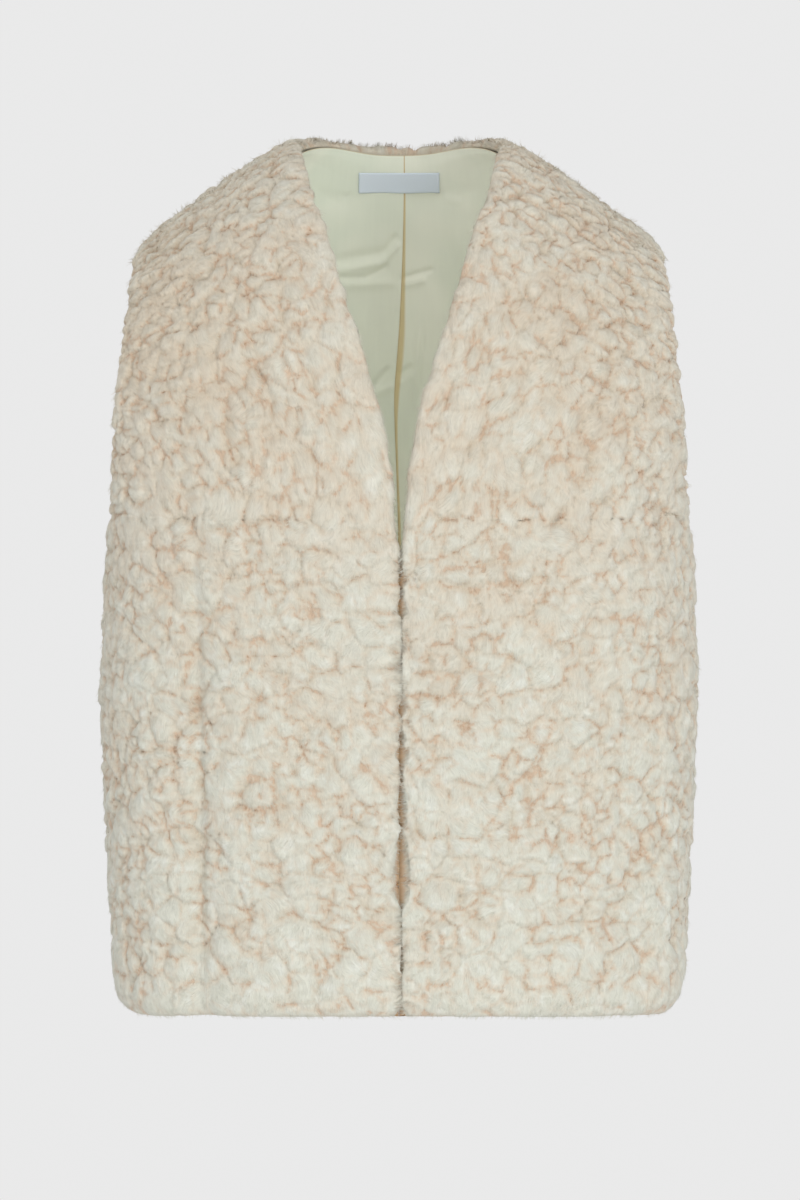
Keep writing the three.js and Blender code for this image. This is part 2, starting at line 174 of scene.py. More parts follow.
def form_surface(side, up, angle):
    """Points on the wearer's left at heights up the cloth and angles round the body."""
    turn = np.clip((up - STRAIGHT) / OVER_SHOULDER, 0, 1) * math.pi / 2
    depth = read_table(SECTIONS, 2 if side == "front" else 3, up) * np.cos(turn)
    reach = read_table(SECTIONS, 1, up) / np.sin(end_angle(side, turn)) ** (2 / SECTION_POWER)
    x = reach * np.sin(angle) ** (2 / SECTION_POWER)
    bulge = np.clip(np.cos(angle), 0, None) ** (2 / SECTION_POWER)
    y = depth * bulge * (-1 if side == "front" else 1)
    climb = np.sin(turn) * (NECK_Z - crest_drop(x) - UNDERARM_Z)
    lift = HEM_LIFT * np.clip(1 - up / STRAIGHT, 0, 1) ** 2 * bulge ** 2
    level = HEM_Z + up + (lift if side == "front" else 0)
    z = np.where(turn > 0, UNDERARM_Z + climb, level)
    return np.stack([x, y, z], axis=-1)


def end_angle(side, turn):
    """Where the armhole ends a row."""
    return np.arccos((ARMHOLE[side] * np.sin(turn) ** ARMHOLE_ROUND) ** (SECTION_POWER / 2))


def start_angle(side, up, turn):
    """Where the front opening starts a row, or the centre back."""
    if side == "back":
        return np.zeros(up.shape)
    reach = read_table(SECTIONS, 1, up) / np.sin(end_angle(side, turn)) ** (2 / SECTION_POWER)
    return np.arcsin((read_table(OPENING, 1, up) / reach) ** (SECTION_POWER / 2))


def form_side(side):
    """Evenly spaced points along each row, the ways out there and the rows' lengths."""
    up = np.linspace(0, FULL_UP, FORM_ROWS)[:, None]
    turn = np.clip((up - STRAIGHT) / OVER_SHOULDER, 0, 1) * math.pi / 2
    start, end = start_angle(side, up, turn), end_angle(side, turn)
    angle = start + (end - start) * np.linspace(0, 1, CURVE_STEPS)[None, :]
    curve = form_surface(side, np.broadcast_to(up, angle.shape), angle)
    steps = np.linalg.norm(np.diff(curve, axis=1), axis=2)
    run = np.concatenate([np.zeros((FORM_ROWS, 1)), np.cumsum(steps, axis=1)], axis=1)
    even = np.linspace(0, 1, FORM_SHARES)
    angles = np.array([np.interp(even * r[-1], r, a) for r, a in zip(run, angle)])
    ups = np.broadcast_to(up, angles.shape)
    points = form_surface(side, ups, angles)
    above = form_surface(side, np.minimum(ups + 1, FULL_UP), angles)
    below = form_surface(side, np.maximum(ups - 1, 0), angles)
    out = np.cross(np.gradient(points, axis=1), above - below)
    if side == "back":
        out = -out
    out /= np.maximum(np.linalg.norm(out, axis=2, keepdims=True), 1e-9)
    return {"point": points, "out": out, "length": run[:, -1]}


FORM = {side: form_side(side) for side in ("front", "back")}
print("half rows at the hem, mm:", {side: round(float(FORM[side]["length"][0])) for side in FORM})

# %% Look up a grid between its points


def between(grid, row, column):
    """A value of a grid at fractional rows and columns."""
    j = np.clip(np.floor(row).astype(int), 0, grid.shape[0] - 2)
    i = np.clip(np.floor(column).astype(int), 0, grid.shape[1] - 2)
    v, u = np.clip(row - j, 0, 1), np.clip(column - i, 0, 1)
    if grid.ndim == 3:
        v, u = v[..., None], u[..., None]
    low = grid[j, i] * (1 - u) + grid[j, i + 1] * u
    high = grid[j + 1, i] * (1 - u) + grid[j + 1, i + 1] * u
    return low * (1 - v) + high * v


def unit(vectors):
    return vectors / np.maximum(np.linalg.norm(vectors, axis=-1, keepdims=True), 1e-9)


def row_length(side, up):
    """Length of the form's row, from its start to the armhole or the side, at heights up the cloth."""
    return np.interp(up, np.linspace(0, FULL_UP, FORM_ROWS), FORM[side]["length"])


def on_form(side, up, share):
    """Point, way out and row length of the form at distances up and shares across."""
    row = up / FULL_UP * (FORM_ROWS - 1)
    column = share * (FORM_SHARES - 1)
    point = between(FORM[side]["point"], row, column)
    out = unit(between(FORM[side]["out"], row, column))
    return point, out, row_length(side, up)


top_row = FORM["back"]["point"][-1, :, 0]
NECK_SHARE = float(np.interp(NECK_X, top_row, np.linspace(0, 1, FORM_SHARES)))


def back_top(share):
    """The highest row of the back: the neckline, then the shoulder seam."""
    in_neck = np.clip(1 - (share / NECK_SHARE) ** 2, 0, 1)
    return STRAIGHT + OVER_SHOULDER * np.arccos(NAPE_SHARE * in_neck) / (math.pi / 2)


def climb_of(v, top):
    """How far up the cloth a row lies, with the rows drawn together below the neckline only."""
    underarm = STRAIGHT / FULL_UP
    above = STRAIGHT + (v - underarm) / (1 - underarm) * (top - STRAIGHT)
    return np.where(v <= underarm, v * FULL_UP, above)


print(f"the neck point is at {NECK_SHARE:.2f} of the back's half width")

# %% [markdown]
# Pile cloth is soft because nothing on it repeats. Smooth noise on a lattice gives that: a random
# number at each lattice point, and a smooth passage between them. The numbers come from a fixed
# formula, so the vest is the same on every run.

# %% Noise


SCATTER_STEPS = (127.1, 311.7, 74.7)
SCATTER_SIZE = 43758.5453


def scatter(i, j, seed):
    """A number from 0 to 1 for each lattice point, with no visible order."""
    by_i, by_j, by_seed = SCATTER_STEPS
    wave = np.sin(i * by_i + j * by_j + seed * by_seed) * SCATTER_SIZE
    return wave - np.floor(wave)


def noise(x, y, seed):
    """Smooth noise from -1 to 1 with lattice cells of size 1."""
    i, j = np.floor(x), np.floor(y)
    u, v = x - i, y - j
    u, v = u * u * (3 - 2 * u), v * v * (3 - 2 * v)
    low = scatter(i, j, seed) * (1 - u) + scatter(i + 1, j, seed) * u
    high = scatter(i, j + 1, seed) * (1 - u) + scatter(i + 1, j + 1, seed) * u
    return 2 * (low * (1 - v) + high * v) - 1


def layered(x, y, seed, layers):
    """Noise in layers, each with its height, its cell size across and up, and its own seed."""
    return sum(height * noise(x / wide, y / high, seed + own) for height, wide, high, own in layers)


def smooth_step(low, high, value):
    t = np.clip((value - low) / (high - low), 0, 1)
    return t * t * (3 - 2 * t)


print("noise at the origin:", round(float(noise(np.array(0.5), np.array(0.5), 1)), 3))

# %% [markdown]
# The curls are a field of uneven round cells about 2 cm wide, some of them broken into smaller ones.
# Each cell swells to a pad, and the pile parts between two pads. The distance to the nearest parting
# shapes the pad, and is kept on the mesh so that the material can tint the partings and paint shade in
# them. Each curl is combed its own way, mostly down, and near the hem the curls are longer and lie flatter.

# %% Curls of the pile
CURL_SEED = {"front_right": 3, "front_left": 11, "back": 19}
CURL_JITTER = 0.38
BIG_CURL = {"across": 24.0, "up": 19.0, "edge": 8.0, "depth": 3.5, "blur": 3.0}
SMALL_CURL = {"across": 14.0, "up": 11.5, "edge": 5.4, "depth": 2.4, "blur": 2.4}
HEM_FLAT = 60.0  # the curls lie flatter below this height
SHINGLE = 1.1  # how much higher each curl stands towards its tip, over the next one
COMB_SPREAD = 0.55  # how far a curl's hair fans out
COMB_TURN = 0.75  # how far a curl's hair turns from straight down, in radians
HEM_STRETCH = 0.35  # how much longer the curls are at the hem
BIG_UNEVEN, SMALL_UNEVEN = 1.6, 1.0  # how much lower one curl may lie than the next
SWELL = (0.78, 0.5)  # the smallest curl's share of the usual size, and how much is added at random
TIP_REACH = 0.6

# Layers of noise: height, cell size across, cell size up, own seed
WARP_ACROSS = ((4.5, 19, 19, 31), (1.5, 6, 6, 32))
WARP_UP = ((4.5, 19, 19, 33), (1.5, 6, 6, 34))
BROKEN_BIG = ((1, 15, 12, 41),)
FINE_PATCH = ((1, 24, 22, 42),)
FINE_SPOTS = ((1, 8, 7, 43),)
COMB_DRIFT = ((0.5, 30, 30, 44),)
GRAIN = ((0.3, 3.4, 5.2, 51), (0.15, 2, 3, 52))


def curl_field(across, up, size, seed):
    """Distance to the nearest parting, the curl's own random number and the way from its middle."""
    stretch = 1 + HEM_STRETCH * (1 - smooth_step(0, 2 * HEM_FLAT, up))
    x = across + layered(across, up, seed, WARP_ACROSS)
    y = (up + layered(across, up, seed, WARP_UP)) / stretch
    column, row = np.floor(x / size["across"]), np.floor(y / size["up"])
    first = np.full(x.shape, 1e9)
    second = np.full(x.shape, 1e9)
    number, away_x, away_y = (np.zeros(x.shape) for _ in range(3))
    for dj in range(-2, 3):
        j = row + dj
        brick = 0.5 * np.mod(np.abs(j), 2)
        for di in range(-2, 3):
            i = column + di
            sx = (i + brick + CURL_JITTER * (2 * scatter(i, j, seed) - 1)) * size["across"]
            sy = (j + 0.5 + CURL_JITTER * (2 * scatter(i, j, seed + 1) - 1)) * size["up"]
            swell = SWELL[0] + SWELL[1] * scatter(i, j, seed + 2)
            away = np.hypot(x - sx, y - sy) / swell
            nearer = away < first
            second = np.where(nearer, first, np.minimum(second, away))
            number = np.where(nearer, scatter(i, j, seed + 3), number)
            away_x, away_y = np.where(nearer, x - sx, away_x), np.where(nearer, y - sy, away_y)
            first = np.where(nearer, away, first)
    return {"parting": 0.5 * (second - first), "number": number, "away": (away_x, away_y)}


def pads(field, size, strength):
    """How far the pads of one curl field lie below their full height."""
    near_parting = 1 - np.clip(field["parting"] / size["edge"], 0, 1)
    hollow = near_parting ** 2
    rim = 1 - np.sqrt(np.clip(1 - near_parting ** 2.4, 0, 1))
    return size["depth"] * strength * 0.5 * (hollow + rim)


def curls(across, up, seed):
    """The pile's relief, its partings and how its hair is combed."""
    big = curl_field(across, up, BIG_CURL, seed)
    small = curl_field(across, up, SMALL_CURL, seed + 7)
    broken = smooth_step(-0.5, 0.35, layered(across, up, seed, BROKEN_BIG))
    more_upward = 0.7 * (up / FULL_UP - 0.35)
    fine = smooth_step(-0.75, 0.25, layered(across, up, seed, FINE_PATCH) + more_upward)
    fine = fine * smooth_step(-0.9, 0.0, layered(across, up, seed, FINE_SPOTS))
    flat = 1 - 0.4 * (1 - smooth_step(0, HEM_FLAT, up))
    low = pads(big, BIG_CURL, 0.15 + 0.85 * broken) + pads(small, SMALL_CURL, fine)
    low += BIG_UNEVEN * (1 - big["number"]) + SMALL_UNEVEN * (1 - small["number"]) * fine
    turn = COMB_TURN * (2 * big["number"] - 1) + layered(across, up, seed, COMB_DRIFT)
    for field, size, share in ((big, BIG_CURL, 1 - 0.5 * fine), (small, SMALL_CURL, 0.8 * fine)):
        away_x, away_y = field["away"]
        towards_tip = (np.sin(turn) * away_x - np.cos(turn) * away_y) / size["up"]
        low -= SHINGLE * share * np.clip(towards_tip, -TIP_REACH, TIP_REACH)
    low = flat * (low + 0.6) + layered(across, up, seed, GRAIN)
    parting = np.minimum(big["parting"] + BIG_CURL["blur"] * (1 - broken),
                         small["parting"] + SMALL_CURL["blur"] * (1 - fine))
    away_x, away_y = big["away"]
    along = -(np.sin(turn) * away_x - np.cos(turn) * away_y)
    aside = np.cos(turn) * away_x + np.sin(turn) * away_y
    owner = big["number"] + 2 * small["number"] * (fine > 0.5)
    return {
        "low": low, "parting": parting, "owner": owner, "number": big["number"],
        "turn": turn, "aside": aside, "along": along, "curl_edge": big["parting"],
    }


# %% Hanging folds


def side_of(panel):
    """The half of the form that a panel lies on."""
    return "back" if panel == "back" else "front"


def panel_side(panel):
    """The wearer's right lies towards minus x."""
    return -1.0 if panel == "front_right" else 1.0


def mirror_of(panel, share):
    """1 on the wearer's left and -1 on the right; the back has both."""
    if panel == "back":
        return np.where(share < 0, -1.0, 1.0)
    return np.full(np.shape(share), panel_side(panel))


def fold_depth(panel, across, up):
    """How far the hanging folds take the cloth in."""
    depth = np.zeros(np.shape(across))
    for name, place, foot, head, width, deep, lean in FOLDS:
        if name != panel:
            continue
        share = (up - foot) / (head - foot)
        away = (across - place - lean * share) / width
        rise = np.sin(math.pi * np.clip(share + FOLD_SHIFT, 0, 1))
        depth += np.where(share <= 1, deep * rise * np.exp(-away ** 2), 0)
    return depth


SIDE_TUCK = {"foot": (4.5, 14.0), "low": (3.0, 45.0)}  # how far in at the hem, and how soon it fades


def side_tuck(share, up):
    """The cloth draws in towards the hem at the sides of the body."""
    depth = sum(size * np.exp(-up / fade) for size, fade in SIDE_TUCK.values())
    return depth * smooth_step(0.7, 0.97, np.abs(share))


# %% [markdown]
# A panel starts as a flat bmesh grid. Its points are then laid on the form, which is quicker and
# more exact than shaping it by hand. At every edge a few more rows turn round to the inside, because
# a maker turns the cloth in there and the lining is sewn to that turning.

# %% Lay a grid on the form


def new_piece(name, shape, place=None):
    """A piece from a bmesh; its points are moved to the places given, in millimetres."""
    mesh = bpy.data.meshes.new(name)
    shape.to_mesh(mesh)
    shape.free()
    if place is not None:
        mesh.vertices.foreach_set("co", (place * MM).astype(np.float32).ravel())
        mesh.polygons.foreach_set("use_smooth", np.ones(len(mesh.polygons), bool))
        mesh.update()
    piece = bpy.data.objects.new(name, mesh)
    bpy.context.scene.collection.objects.link(piece)
    return piece


def grid_object(name, place):
    """A bmesh grid whose points are moved to places given row by row."""
    sheet = bmesh.new()
    bmesh.ops.create_grid(sheet, x_segments=place.shape[1] - 1, y_segments=place.shape[0] - 1, size=1)
    return new_piece(name, sheet, place)


def thicken(piece, thick):
    """Gives a piece of one layer its thickness, behind the side that faces out."""
    modifier = piece.modifiers.new("thickness", "SOLIDIFY")
    modifier.thickness = thick * MM
    modifier.offset = -1


def keep_value(piece, name, values):
    """Stores a number for each point, for the material to read."""
    layer = piece.data.attributes.new(name, "FLOAT", "POINT")
    layer.data.foreach_set("value", np.ascontiguousarray(values, np.float32).ravel())


def keep_place(piece, name, x, y, z):
    """Stores a place for each point, such as its place on the flat cloth."""
    layer = piece.data.attributes.new(name, "FLOAT_VECTOR", "POINT")
    vectors = np.stack(np.broadcast_arrays(x, y, z), axis=-1)
    layer.data.foreach_set("vector", np.ascontiguousarray(vectors, np.float32).ravel())


def turned_in(start_turn, end_turn, stops):
    """Stops along one direction of a panel: distance turned in, share along, and height share."""
    start = [(start_turn, 0, 0), (start_turn / 2, 0, 0), (0, 0, 0), (0, 0, 0.6)]
    middle = [(0, share, 1) for share in stops]
    end = [(0, 1, 0.6), (0, 1, 0), (-end_turn / 2, 1, 0), (-end_turn, 1, 0)]
    return np.array(start + middle + end, float).T


# Rows above the underarm, in millimetres
UNDERARM_ROWS = (0, 0.15, 0.3, 0.45, 0.6, 0.75, 0.9, 1, 1.3, 1.6, 2, 2.5, 3, 4, 5, 6.5, 8, 10)
ROW_ROOM = 0.3


def up_stops_of(count):
    """Even stops, with more of them where the armhole starts and runs almost level."""
    even = np.linspace(0, 1, count)
    near_underarm = (STRAIGHT + np.array(UNDERARM_ROWS)) / FULL_UP
    below = even < near_underarm[0] - ROW_ROOM / count
    above = even > near_underarm[-1] + ROW_ROOM / count
    return np.sort(np.concatenate([even[below | above], near_underarm]))


def cloth_grid(panel, across_stops, up_stops):
    """Distances on the flat cloth for each point of a panel's grid."""
    turn_across, share_across, lift_across = across_stops
    turn_up, share_up, lift_up = up_stops
    low = -1.0 if panel == "back" else 0.0
    share = np.tile(low + (1 - low) * share_across, (len(share_up), 1))
    v = np.tile(share_up[:, None], (1, len(share_across)))
    length = row_length(side_of(panel), v * FULL_UP)
    share = np.clip(share + turn_across[None, :] / length, low, 1)
    top = back_top(np.abs(share)) if panel == "back" else np.full(share.shape, FULL_UP)
    up = np.clip(climb_of(v, top) + turn_up[:, None], 0, FULL_UP)
    outside = np.minimum(lift_across[None, :], lift_up[:, None])
    return share, up, top, outside


def hung(panel, share, up, height):
    """Places on the form at a height over the backing, with the ways out, in millimetres."""
    point, out, length = on_form(side_of(panel), up, np.abs(share))
    fold = fold_depth(panel, share * length, up) + side_tuck(share, up)
    place = point + out * (height - PILE - fold)[..., None]
    mirror = mirror_of(panel, share)
    place[..., 0] *= mirror
    out[..., 0] *= mirror
    return place, out, length


MEET_X = 2.0  # the fronts meet a little to the wearer's left of the middle
APART = 0.1
FRONT_MEETS = {"front_right": APART - MEET_X, "front_left": MEET_X + APART}


def kept_apart(panel, place):
    """Keeps the panels from crossing each other at the seams and the front opening."""
    if panel == "back":
        place[..., 1] = np.maximum(place[..., 1], APART)
        return
    place[..., 1] = np.minimum(place[..., 1], -APART)
    mirror = panel_side(panel)
    place[..., 0] = np.maximum(place[..., 0] * mirror, FRONT_MEETS[panel]) * mirror


ARMHOLE_POINTS = 120
FAR = 1e3  # stands for no edge nearby


def armhole_line(panel):
    """The armhole's edge on the flat cloth: distance across and distance up."""
    up = STRAIGHT + OVER_SHOULDER * np.linspace(0, 1, ARMHOLE_POINTS) ** 2
    return row_length(side_of(panel), up), up


def distance_to_line(line, across, up):
    """Distance from each place on the flat cloth to a line of points on it."""
    nearest = np.full(across.shape, 1e6)
    for line_across, line_up in zip(*line):
        nearest = np.minimum(nearest, (across - line_across) ** 2 + (up - line_up) ** 2)
    return np.sqrt(nearest)


def edge_distances(panel, share, up, top):
    """Distances to the front or neck opening, the armhole, the hem and the nearest seam."""
    length = row_length(side_of(panel), up)
    from_side = (1 - np.abs(share)) * length
    above = np.where(up > STRAIGHT, from_side, FAR)
    armhole = np.minimum(distance_to_line(armhole_line(panel), np.abs(share) * length, up), above)
    neck_point = np.hypot((np.abs(share) - NECK_SHARE) * length, FULL_UP - up)
    in_neck = np.abs(share) < NECK_SHARE
    if panel == "back":
        opening = np.where(in_neck, np.minimum(neck_point, top - up), neck_point)
        shoulder = np.where(in_neck, FAR, FULL_UP - up)
    else:
        opening = share * length
        shoulder = FULL_UP - up
    seam = np.minimum(np.where(up < STRAIGHT, from_side, FAR), shoulder)
    return {"opening": opening, "armhole": armhole, "hem": up, "seam": seam}


# %% Pile panels
EDGE_ROUND = {"hem": 20.0, "opening": 13.0, "armhole": 20.0}
EDGE_HEIGHT = {"hem": 3.5, "opening": 6.5, "armhole": 5.0}
NAPE_HEIGHT = (8.0, 4.0)  # the pile's height at the neckline, in the middle and at the neck points
CLOSED_ROUND = 3.5  # where the fronts meet, the pile stands up nearly to the edge
CLOSED_HEIGHT = 12.4
OVERHANG = {"hem": 0.6, "opening": 2.4, "armhole": 1.2}  # how far the curls hang over an open edge
OVERHANG_REACH = 5.0
GAP_SHELF = 5.5  # the turned-in edges stand this far out where they meet behind the gap
SEAM_DIP = 0.8
SEAM_WIDTH = 1.5
OPEN_TURN = 9.0
HEM_TURN = 22.0
PILE_GRIDS = {"front_right": (168, 392), "front_left": (168, 392), "back": (196, 196)}
V_LEANS = {"front_right": 2.2, "front_left": 0.4}

# Up the cloth, and how wide the dark gap between the fronts is there; below 0 they press together
GAP = np.array([
    (0, 10), (4, 5), (9, 0.5), (12, -1.5), (30, -1.5), (34, 1.6), (45, 1.9), (52, 0.6), (60, -1.5),
    (76, -1.5), (80, 3), (86, 10), (92, 11), (95, 8), (99, 10), (108, 11), (115, 8), (129, 6),
    (133, 2), (138, 5.5), (148, 6), (157, 4), (168, 2.4), (180, 2.4), (183, 6), (188, 8), (194, 4.5),
    (202, 4), (206, -1.5), (211, -1.5), (214, 4), (221, 3), (224, 0.4), (236, 0.4), (240, -1.5),
    (244, -1.5), (248, 0.7), (262, 0.7), (266, -2), (279, -2), (284, 6), (291, 6.5), (294, 2),
    (302, 2), (305, 5), (312, 5), (316, 2), (340, 2), (666, 2),
], float)


GAP_RAGGED = ((1.6, 6.0, 5), (1.4, 2.2, 6))  # size, cell size and seed of the ragged edge's noise
MEET_FADE = (306, 340)  # the fronts meet below the first height and are apart above the second


def rounded_off(distance, radius):
    """A quarter round from 0 at the edge to 1 at a radius in from it."""
    share = np.clip(distance / radius, 0, 1)
    return np.sqrt(1 - (1 - share) ** 2)


def closed_share(panel, up):
    """1 where the two fronts meet, and 0 along the V and on the back."""
    return 0 * up if panel == "back" else 1 - smooth_step(*MEET_FADE, up)


def gap_width(up):
    """Width of the gap between the fronts, ragged where it is open."""
    width = np.interp(up, GAP[:, 0], GAP[:, 1])
    ragged = sum(size * noise(up / cell, 0 * up, own) for size, cell, own in GAP_RAGGED)
    return width + smooth_step(0, 3, width) * ragged


def edge_profile(panel, key, share, up):
    """Height of the pile at an open edge, and how far in it reaches its full height."""
    if key != "opening":
        return EDGE_HEIGHT[key], EDGE_ROUND[key]
    if panel == "back":
        along_neck = smooth_step(0.25, 0.9, np.abs(share) / NECK_SHARE)
        middle, neck_point = NAPE_HEIGHT
        return middle + (neck_point - middle) * along_neck, EDGE_ROUND[key]
    closed = closed_share(panel, up) * (1 - 0.35 * smooth_step(1, 6, gap_width(up)))
    return (EDGE_HEIGHT[key] + (CLOSED_HEIGHT - EDGE_HEIGHT[key]) * closed,
            EDGE_ROUND[key] + (CLOSED_ROUND - EDGE_ROUND[key]) * closed)


SMALL_SHARE = 0.004


def over_edges(panel, share, edges, out, low):
    """How far each point moves out over a near open edge, along the cloth."""
    near_by = [on_form(side_of(panel), edges["hem"], np.clip(np.abs(share) + step, 0, 1))[0]
               for step in (SMALL_SHARE, -SMALL_SHARE)]
    away = unit(near_by[0] - near_by[1])
    away[..., 0] *= mirror_of(panel, share)
    rise = unit(np.cross(away, out))
    rise *= np.where(rise[..., 2:3] < 0, -1, 1)
    curl = np.clip(1.15 - low / 6, 0, 1.2)

    def near(key):
        return (OVERHANG[key] * curl * np.exp(-edges[key] / OVERHANG_REACH))[..., None]

    move = away * near("armhole") - rise * near("hem")
    if panel == "back":
        return move + rise * near("opening")
    up = edges["hem"]
    half_gap = read_table(OPENING, 1, up)
    to_meet = half_gap - panel_side(panel) * MEET_X - 0.5 * gap_width(up)
    ragged = V_LEANS[panel] + 1.5 * noise(up / 8, share * 0, CURL_SEED[panel])
    closed = closed_share(panel, up)
    lean = closed * to_meet + (1 - closed) * ragged * (0.5 + 0.5 * curl)
    return move - away * (lean * np.exp(-edges["opening"] / OVERHANG_REACH))[..., None]


# Patches of painted shade on the pile, a deeper tan: panel, across, up, half width, half height, how much
SHADE_PATCHES = [("front_right", 118, 480, 50, 95, 4.0), ("front_left", 95, 480, 50, 90, 1.6)]


def painted_shade_patch(panel, across, up):
    """How much deeper the painted shade is at each place, from the patches of painted shade."""
    patches = [row[1:] for row in SHADE_PATCHES if row[0] == panel]
    return sum((much * np.exp(-((across - x) / wide) ** 2 - ((up - y) / high) ** 2)
                for x, y, wide, high, much in patches), 0 * up)


def pile_panel(panel):
    """The panel's outside with its turned-in edges, and what the material and the hair need."""
    columns, rows = PILE_GRIDS[panel]
    share, up, top, outside = cloth_grid(
        panel, turned_in(OPEN_TURN, OPEN_TURN, np.linspace(0, 1, columns)),
        turned_in(HEM_TURN, OPEN_TURN, up_stops_of(rows)))
    _, out, length = hung(panel, share, up, 0)
    across = share * length
    edges = edge_distances(panel, share, up, top)
    curl = curls(across, up, CURL_SEED[panel])
    low = curl["low"] + SEAM_DIP * np.exp(-(edges["seam"] / SEAM_WIDTH) ** 2)
    height = np.full(up.shape, PILE)
    for key in EDGE_ROUND:
        edge_height, radius = edge_profile(panel, key, share, up)
        height -= (PILE - edge_height) * (1 - rounded_off(edges[key], radius))
    height = np.maximum(height - low * (0.3 + 0.7 * height / PILE), 2.0)
    place, out, _ = hung(panel, share, up, height * outside)
    place += over_edges(panel, share, edges, out, low) * outside[..., None]
    kept_apart(panel, place)
    if panel != "back":
        shelf = (outside < 0.1) * (edges["opening"] < 0.5) * (up < STRAIGHT - 20)
        place[..., 0] = np.where(shelf, APART * panel_side(panel), place[..., 0])
        place[..., 1] = np.where(shelf, place[..., 1] - GAP_SHELF, place[..., 1])
    # painted_shade_depth: how low the pile lies, plus the patches of painted shade.
    return {
        "place": place, "out": out, "across": across, "up": up, "painted_shade_depth": low + painted_shade_patch(panel, across, up),
        "outside": outside, **curl, **edges,
    }


INSIDE_SHARE = {"front": 1.0, "back": 0.3}  # how much of the turned-in cloth's colour shows
PANELS = {panel: pile_panel(panel) for panel in PILE_GRIDS}
pile_pieces = {}
for panel, made in PANELS.items():
    piece = grid_object(f"curly_{panel}", made["place"])
    # Partly the turned-in cloth's own tan, partly painted shade: the cloth deep in the gap between the
    # fronts is painted brown.
    gap_shade = smooth_step(0.9, 0.1, made["outside"]) * (made["opening"] < 12) * (made["up"] < STRAIGHT - 15)
    told = {
        "parting": made["parting"],
        "curl_edge": made["curl_edge"],
        "sunk_shade": made["painted_shade_depth"],
        "inside": smooth_step(0.5, 0, made["outside"]) * INSIDE_SHARE[side_of(panel)],
        "gap": gap_shade * (panel != "back"),
    }
    for name, values in told.items():
        keep_value(piece, name, values)
    fan = 1 - COMB_SPREAD * np.clip(made["along"] / BIG_CURL["up"], -1, 1)
    keep_place(piece, "combed", made["aside"] / fan, made["along"], 100.0 * made["number"])
    keep_place(piece, "cloth", made["across"], made["up"], CURL_SEED[panel] * 100.0)
    pile_pieces[panel] = piece
    print(panel, "grid", made["place"].shape[:2], "triangles", 2 * len(piece.data.polygons))

# %% [markdown]
# Grid faces can come out facing inward, depending on which way the columns run round the body. The
# points' normals are held against the ways out, and the whole mesh is flipped if on the whole it faces in.

# %% Turn the faces outward


def face_outward(piece, way):
    """Flips a piece whose faces look against the given ways out, one for each point."""
    mesh = piece.data
    normals = np.empty(len(mesh.vertices) * 3, np.float32)
    mesh.vertex_normals.foreach_get("vector", normals)
    agreement = (normals.reshape(-1, 3) * way.reshape(-1, 3)).sum(axis=1).mean()
    if agreement < 0:
        mesh.flip_normals()
    return agreement


for panel, piece in pile_pieces.items():
    agreement = face_outward(piece, PANELS[panel]["out"])
    print(panel, "faces agreed with the way out before:", round(float(agreement), 2))

# %% [markdown]
# The loose hair is what makes pile look like pile. Each hair is one tapered face, rooted in a curl and
# lying with it: away from the curl's middle, mostly down, and towards an open edge near one. Most of
# it stops at a parting. A grid with every second face taken out gives thousands of such blades.

# %% Hair
HAIRS = {"front_right": 72000, "front_left": 72000, "back": 66000}
HAIR_LENGTH = (3.6, 8.0)
HAIR_LIFT = (0.15, 0.95)
STRAY_SHARE = 0.03
STRAY_LIFT = 1.8
HAIR_WIDTH = 0.3
HAIR_SINK = 0.6
BARE_PARTING = 0.45  # no hair is rooted this near a parting
RIM_MORE = 5.0  # how much denser the hair grows at the neckline's rim
CROSSING = 0.12  # share of the hair that may lie across a parting
REACH_STEPS = (1.0, 0.75, 0.5, 0.25)
REACH_ROOM = 0.15
SHORTEST = 0.2
TIP_WIDTH = 0.3  # the tip's share of the root's width
FREE_EDGE = 6.0  # hair rooted this near an edge or a seam keeps its full length
RIM_REACH = 5.0
RIM_SHARE = 0.85
GAP_REACH = 8.0
LEAN_DRIFT_ACROSS = ((0.4, 6, 6, 62),)
LEAN_DRIFT_UP = ((0.4, 6, 6, 64),)
SWIRL = ((1, 5, 5, 66),)
ROOT_KEYS = ("place", "across", "up", "opening", "armhole", "seam", "painted_shade_depth")
TURNED_ROWS = 3  # rows at an edge that are turned in and grow no hair
BARE_ROWS = 4  # the same at an edge where the first row of the face stays bare too


# Near an edge the hair turns: how far in that reaches, and how strongly
ARMHOLE_LEAN = (10.0, 0.8)
SIDE_LEAN = (6.0, 1.4)
SHOULDER_LEAN = (6.0, 0.9)
HEM_LEAN = (22.0, 0.4)
NECK_LEAN = (8.0, 1.6)
FRONT_LEAN = (8.0, 0.9)
CLOSED_LEAN = (6.0, 1.5)  # added to the front's where the fronts meet

# %% Roots of the hair


def hair_roots(panel, count, rng):
    """Random places on the panel's outside, spread by area and away from the partings."""
    made = PANELS[panel]
    place = made["place"]
    rows, columns = place.shape[:2]
    low, high = TURNED_ROWS, BARE_ROWS
    top = rows - (TURNED_ROWS if panel == "back" else BARE_ROWS)  # hair shows at the back's neckline
    area = np.linalg.norm(np.cross(np.gradient(place, axis=1), np.gradient(place, axis=0)), axis=2)
    if panel == "back":
        area = area * (1 + RIM_MORE * np.exp(-made["opening"] / 6))
    area = area[low:top, low:columns - high]
    cell = rng.choice(area.size, size=int(count * 1.3), p=(area / area.sum()).ravel())
    row = low + cell // area.shape[1] + rng.random(cell.size)
    column = low + cell % area.shape[1] + rng.random(cell.size)
    parting = between(made["parting"], row, column)
    kept = np.flatnonzero(parting > BARE_PARTING * rng.random(cell.size) * 2)[:count]
    return row[kept], column[kept]


# %% Ways to comb the hair


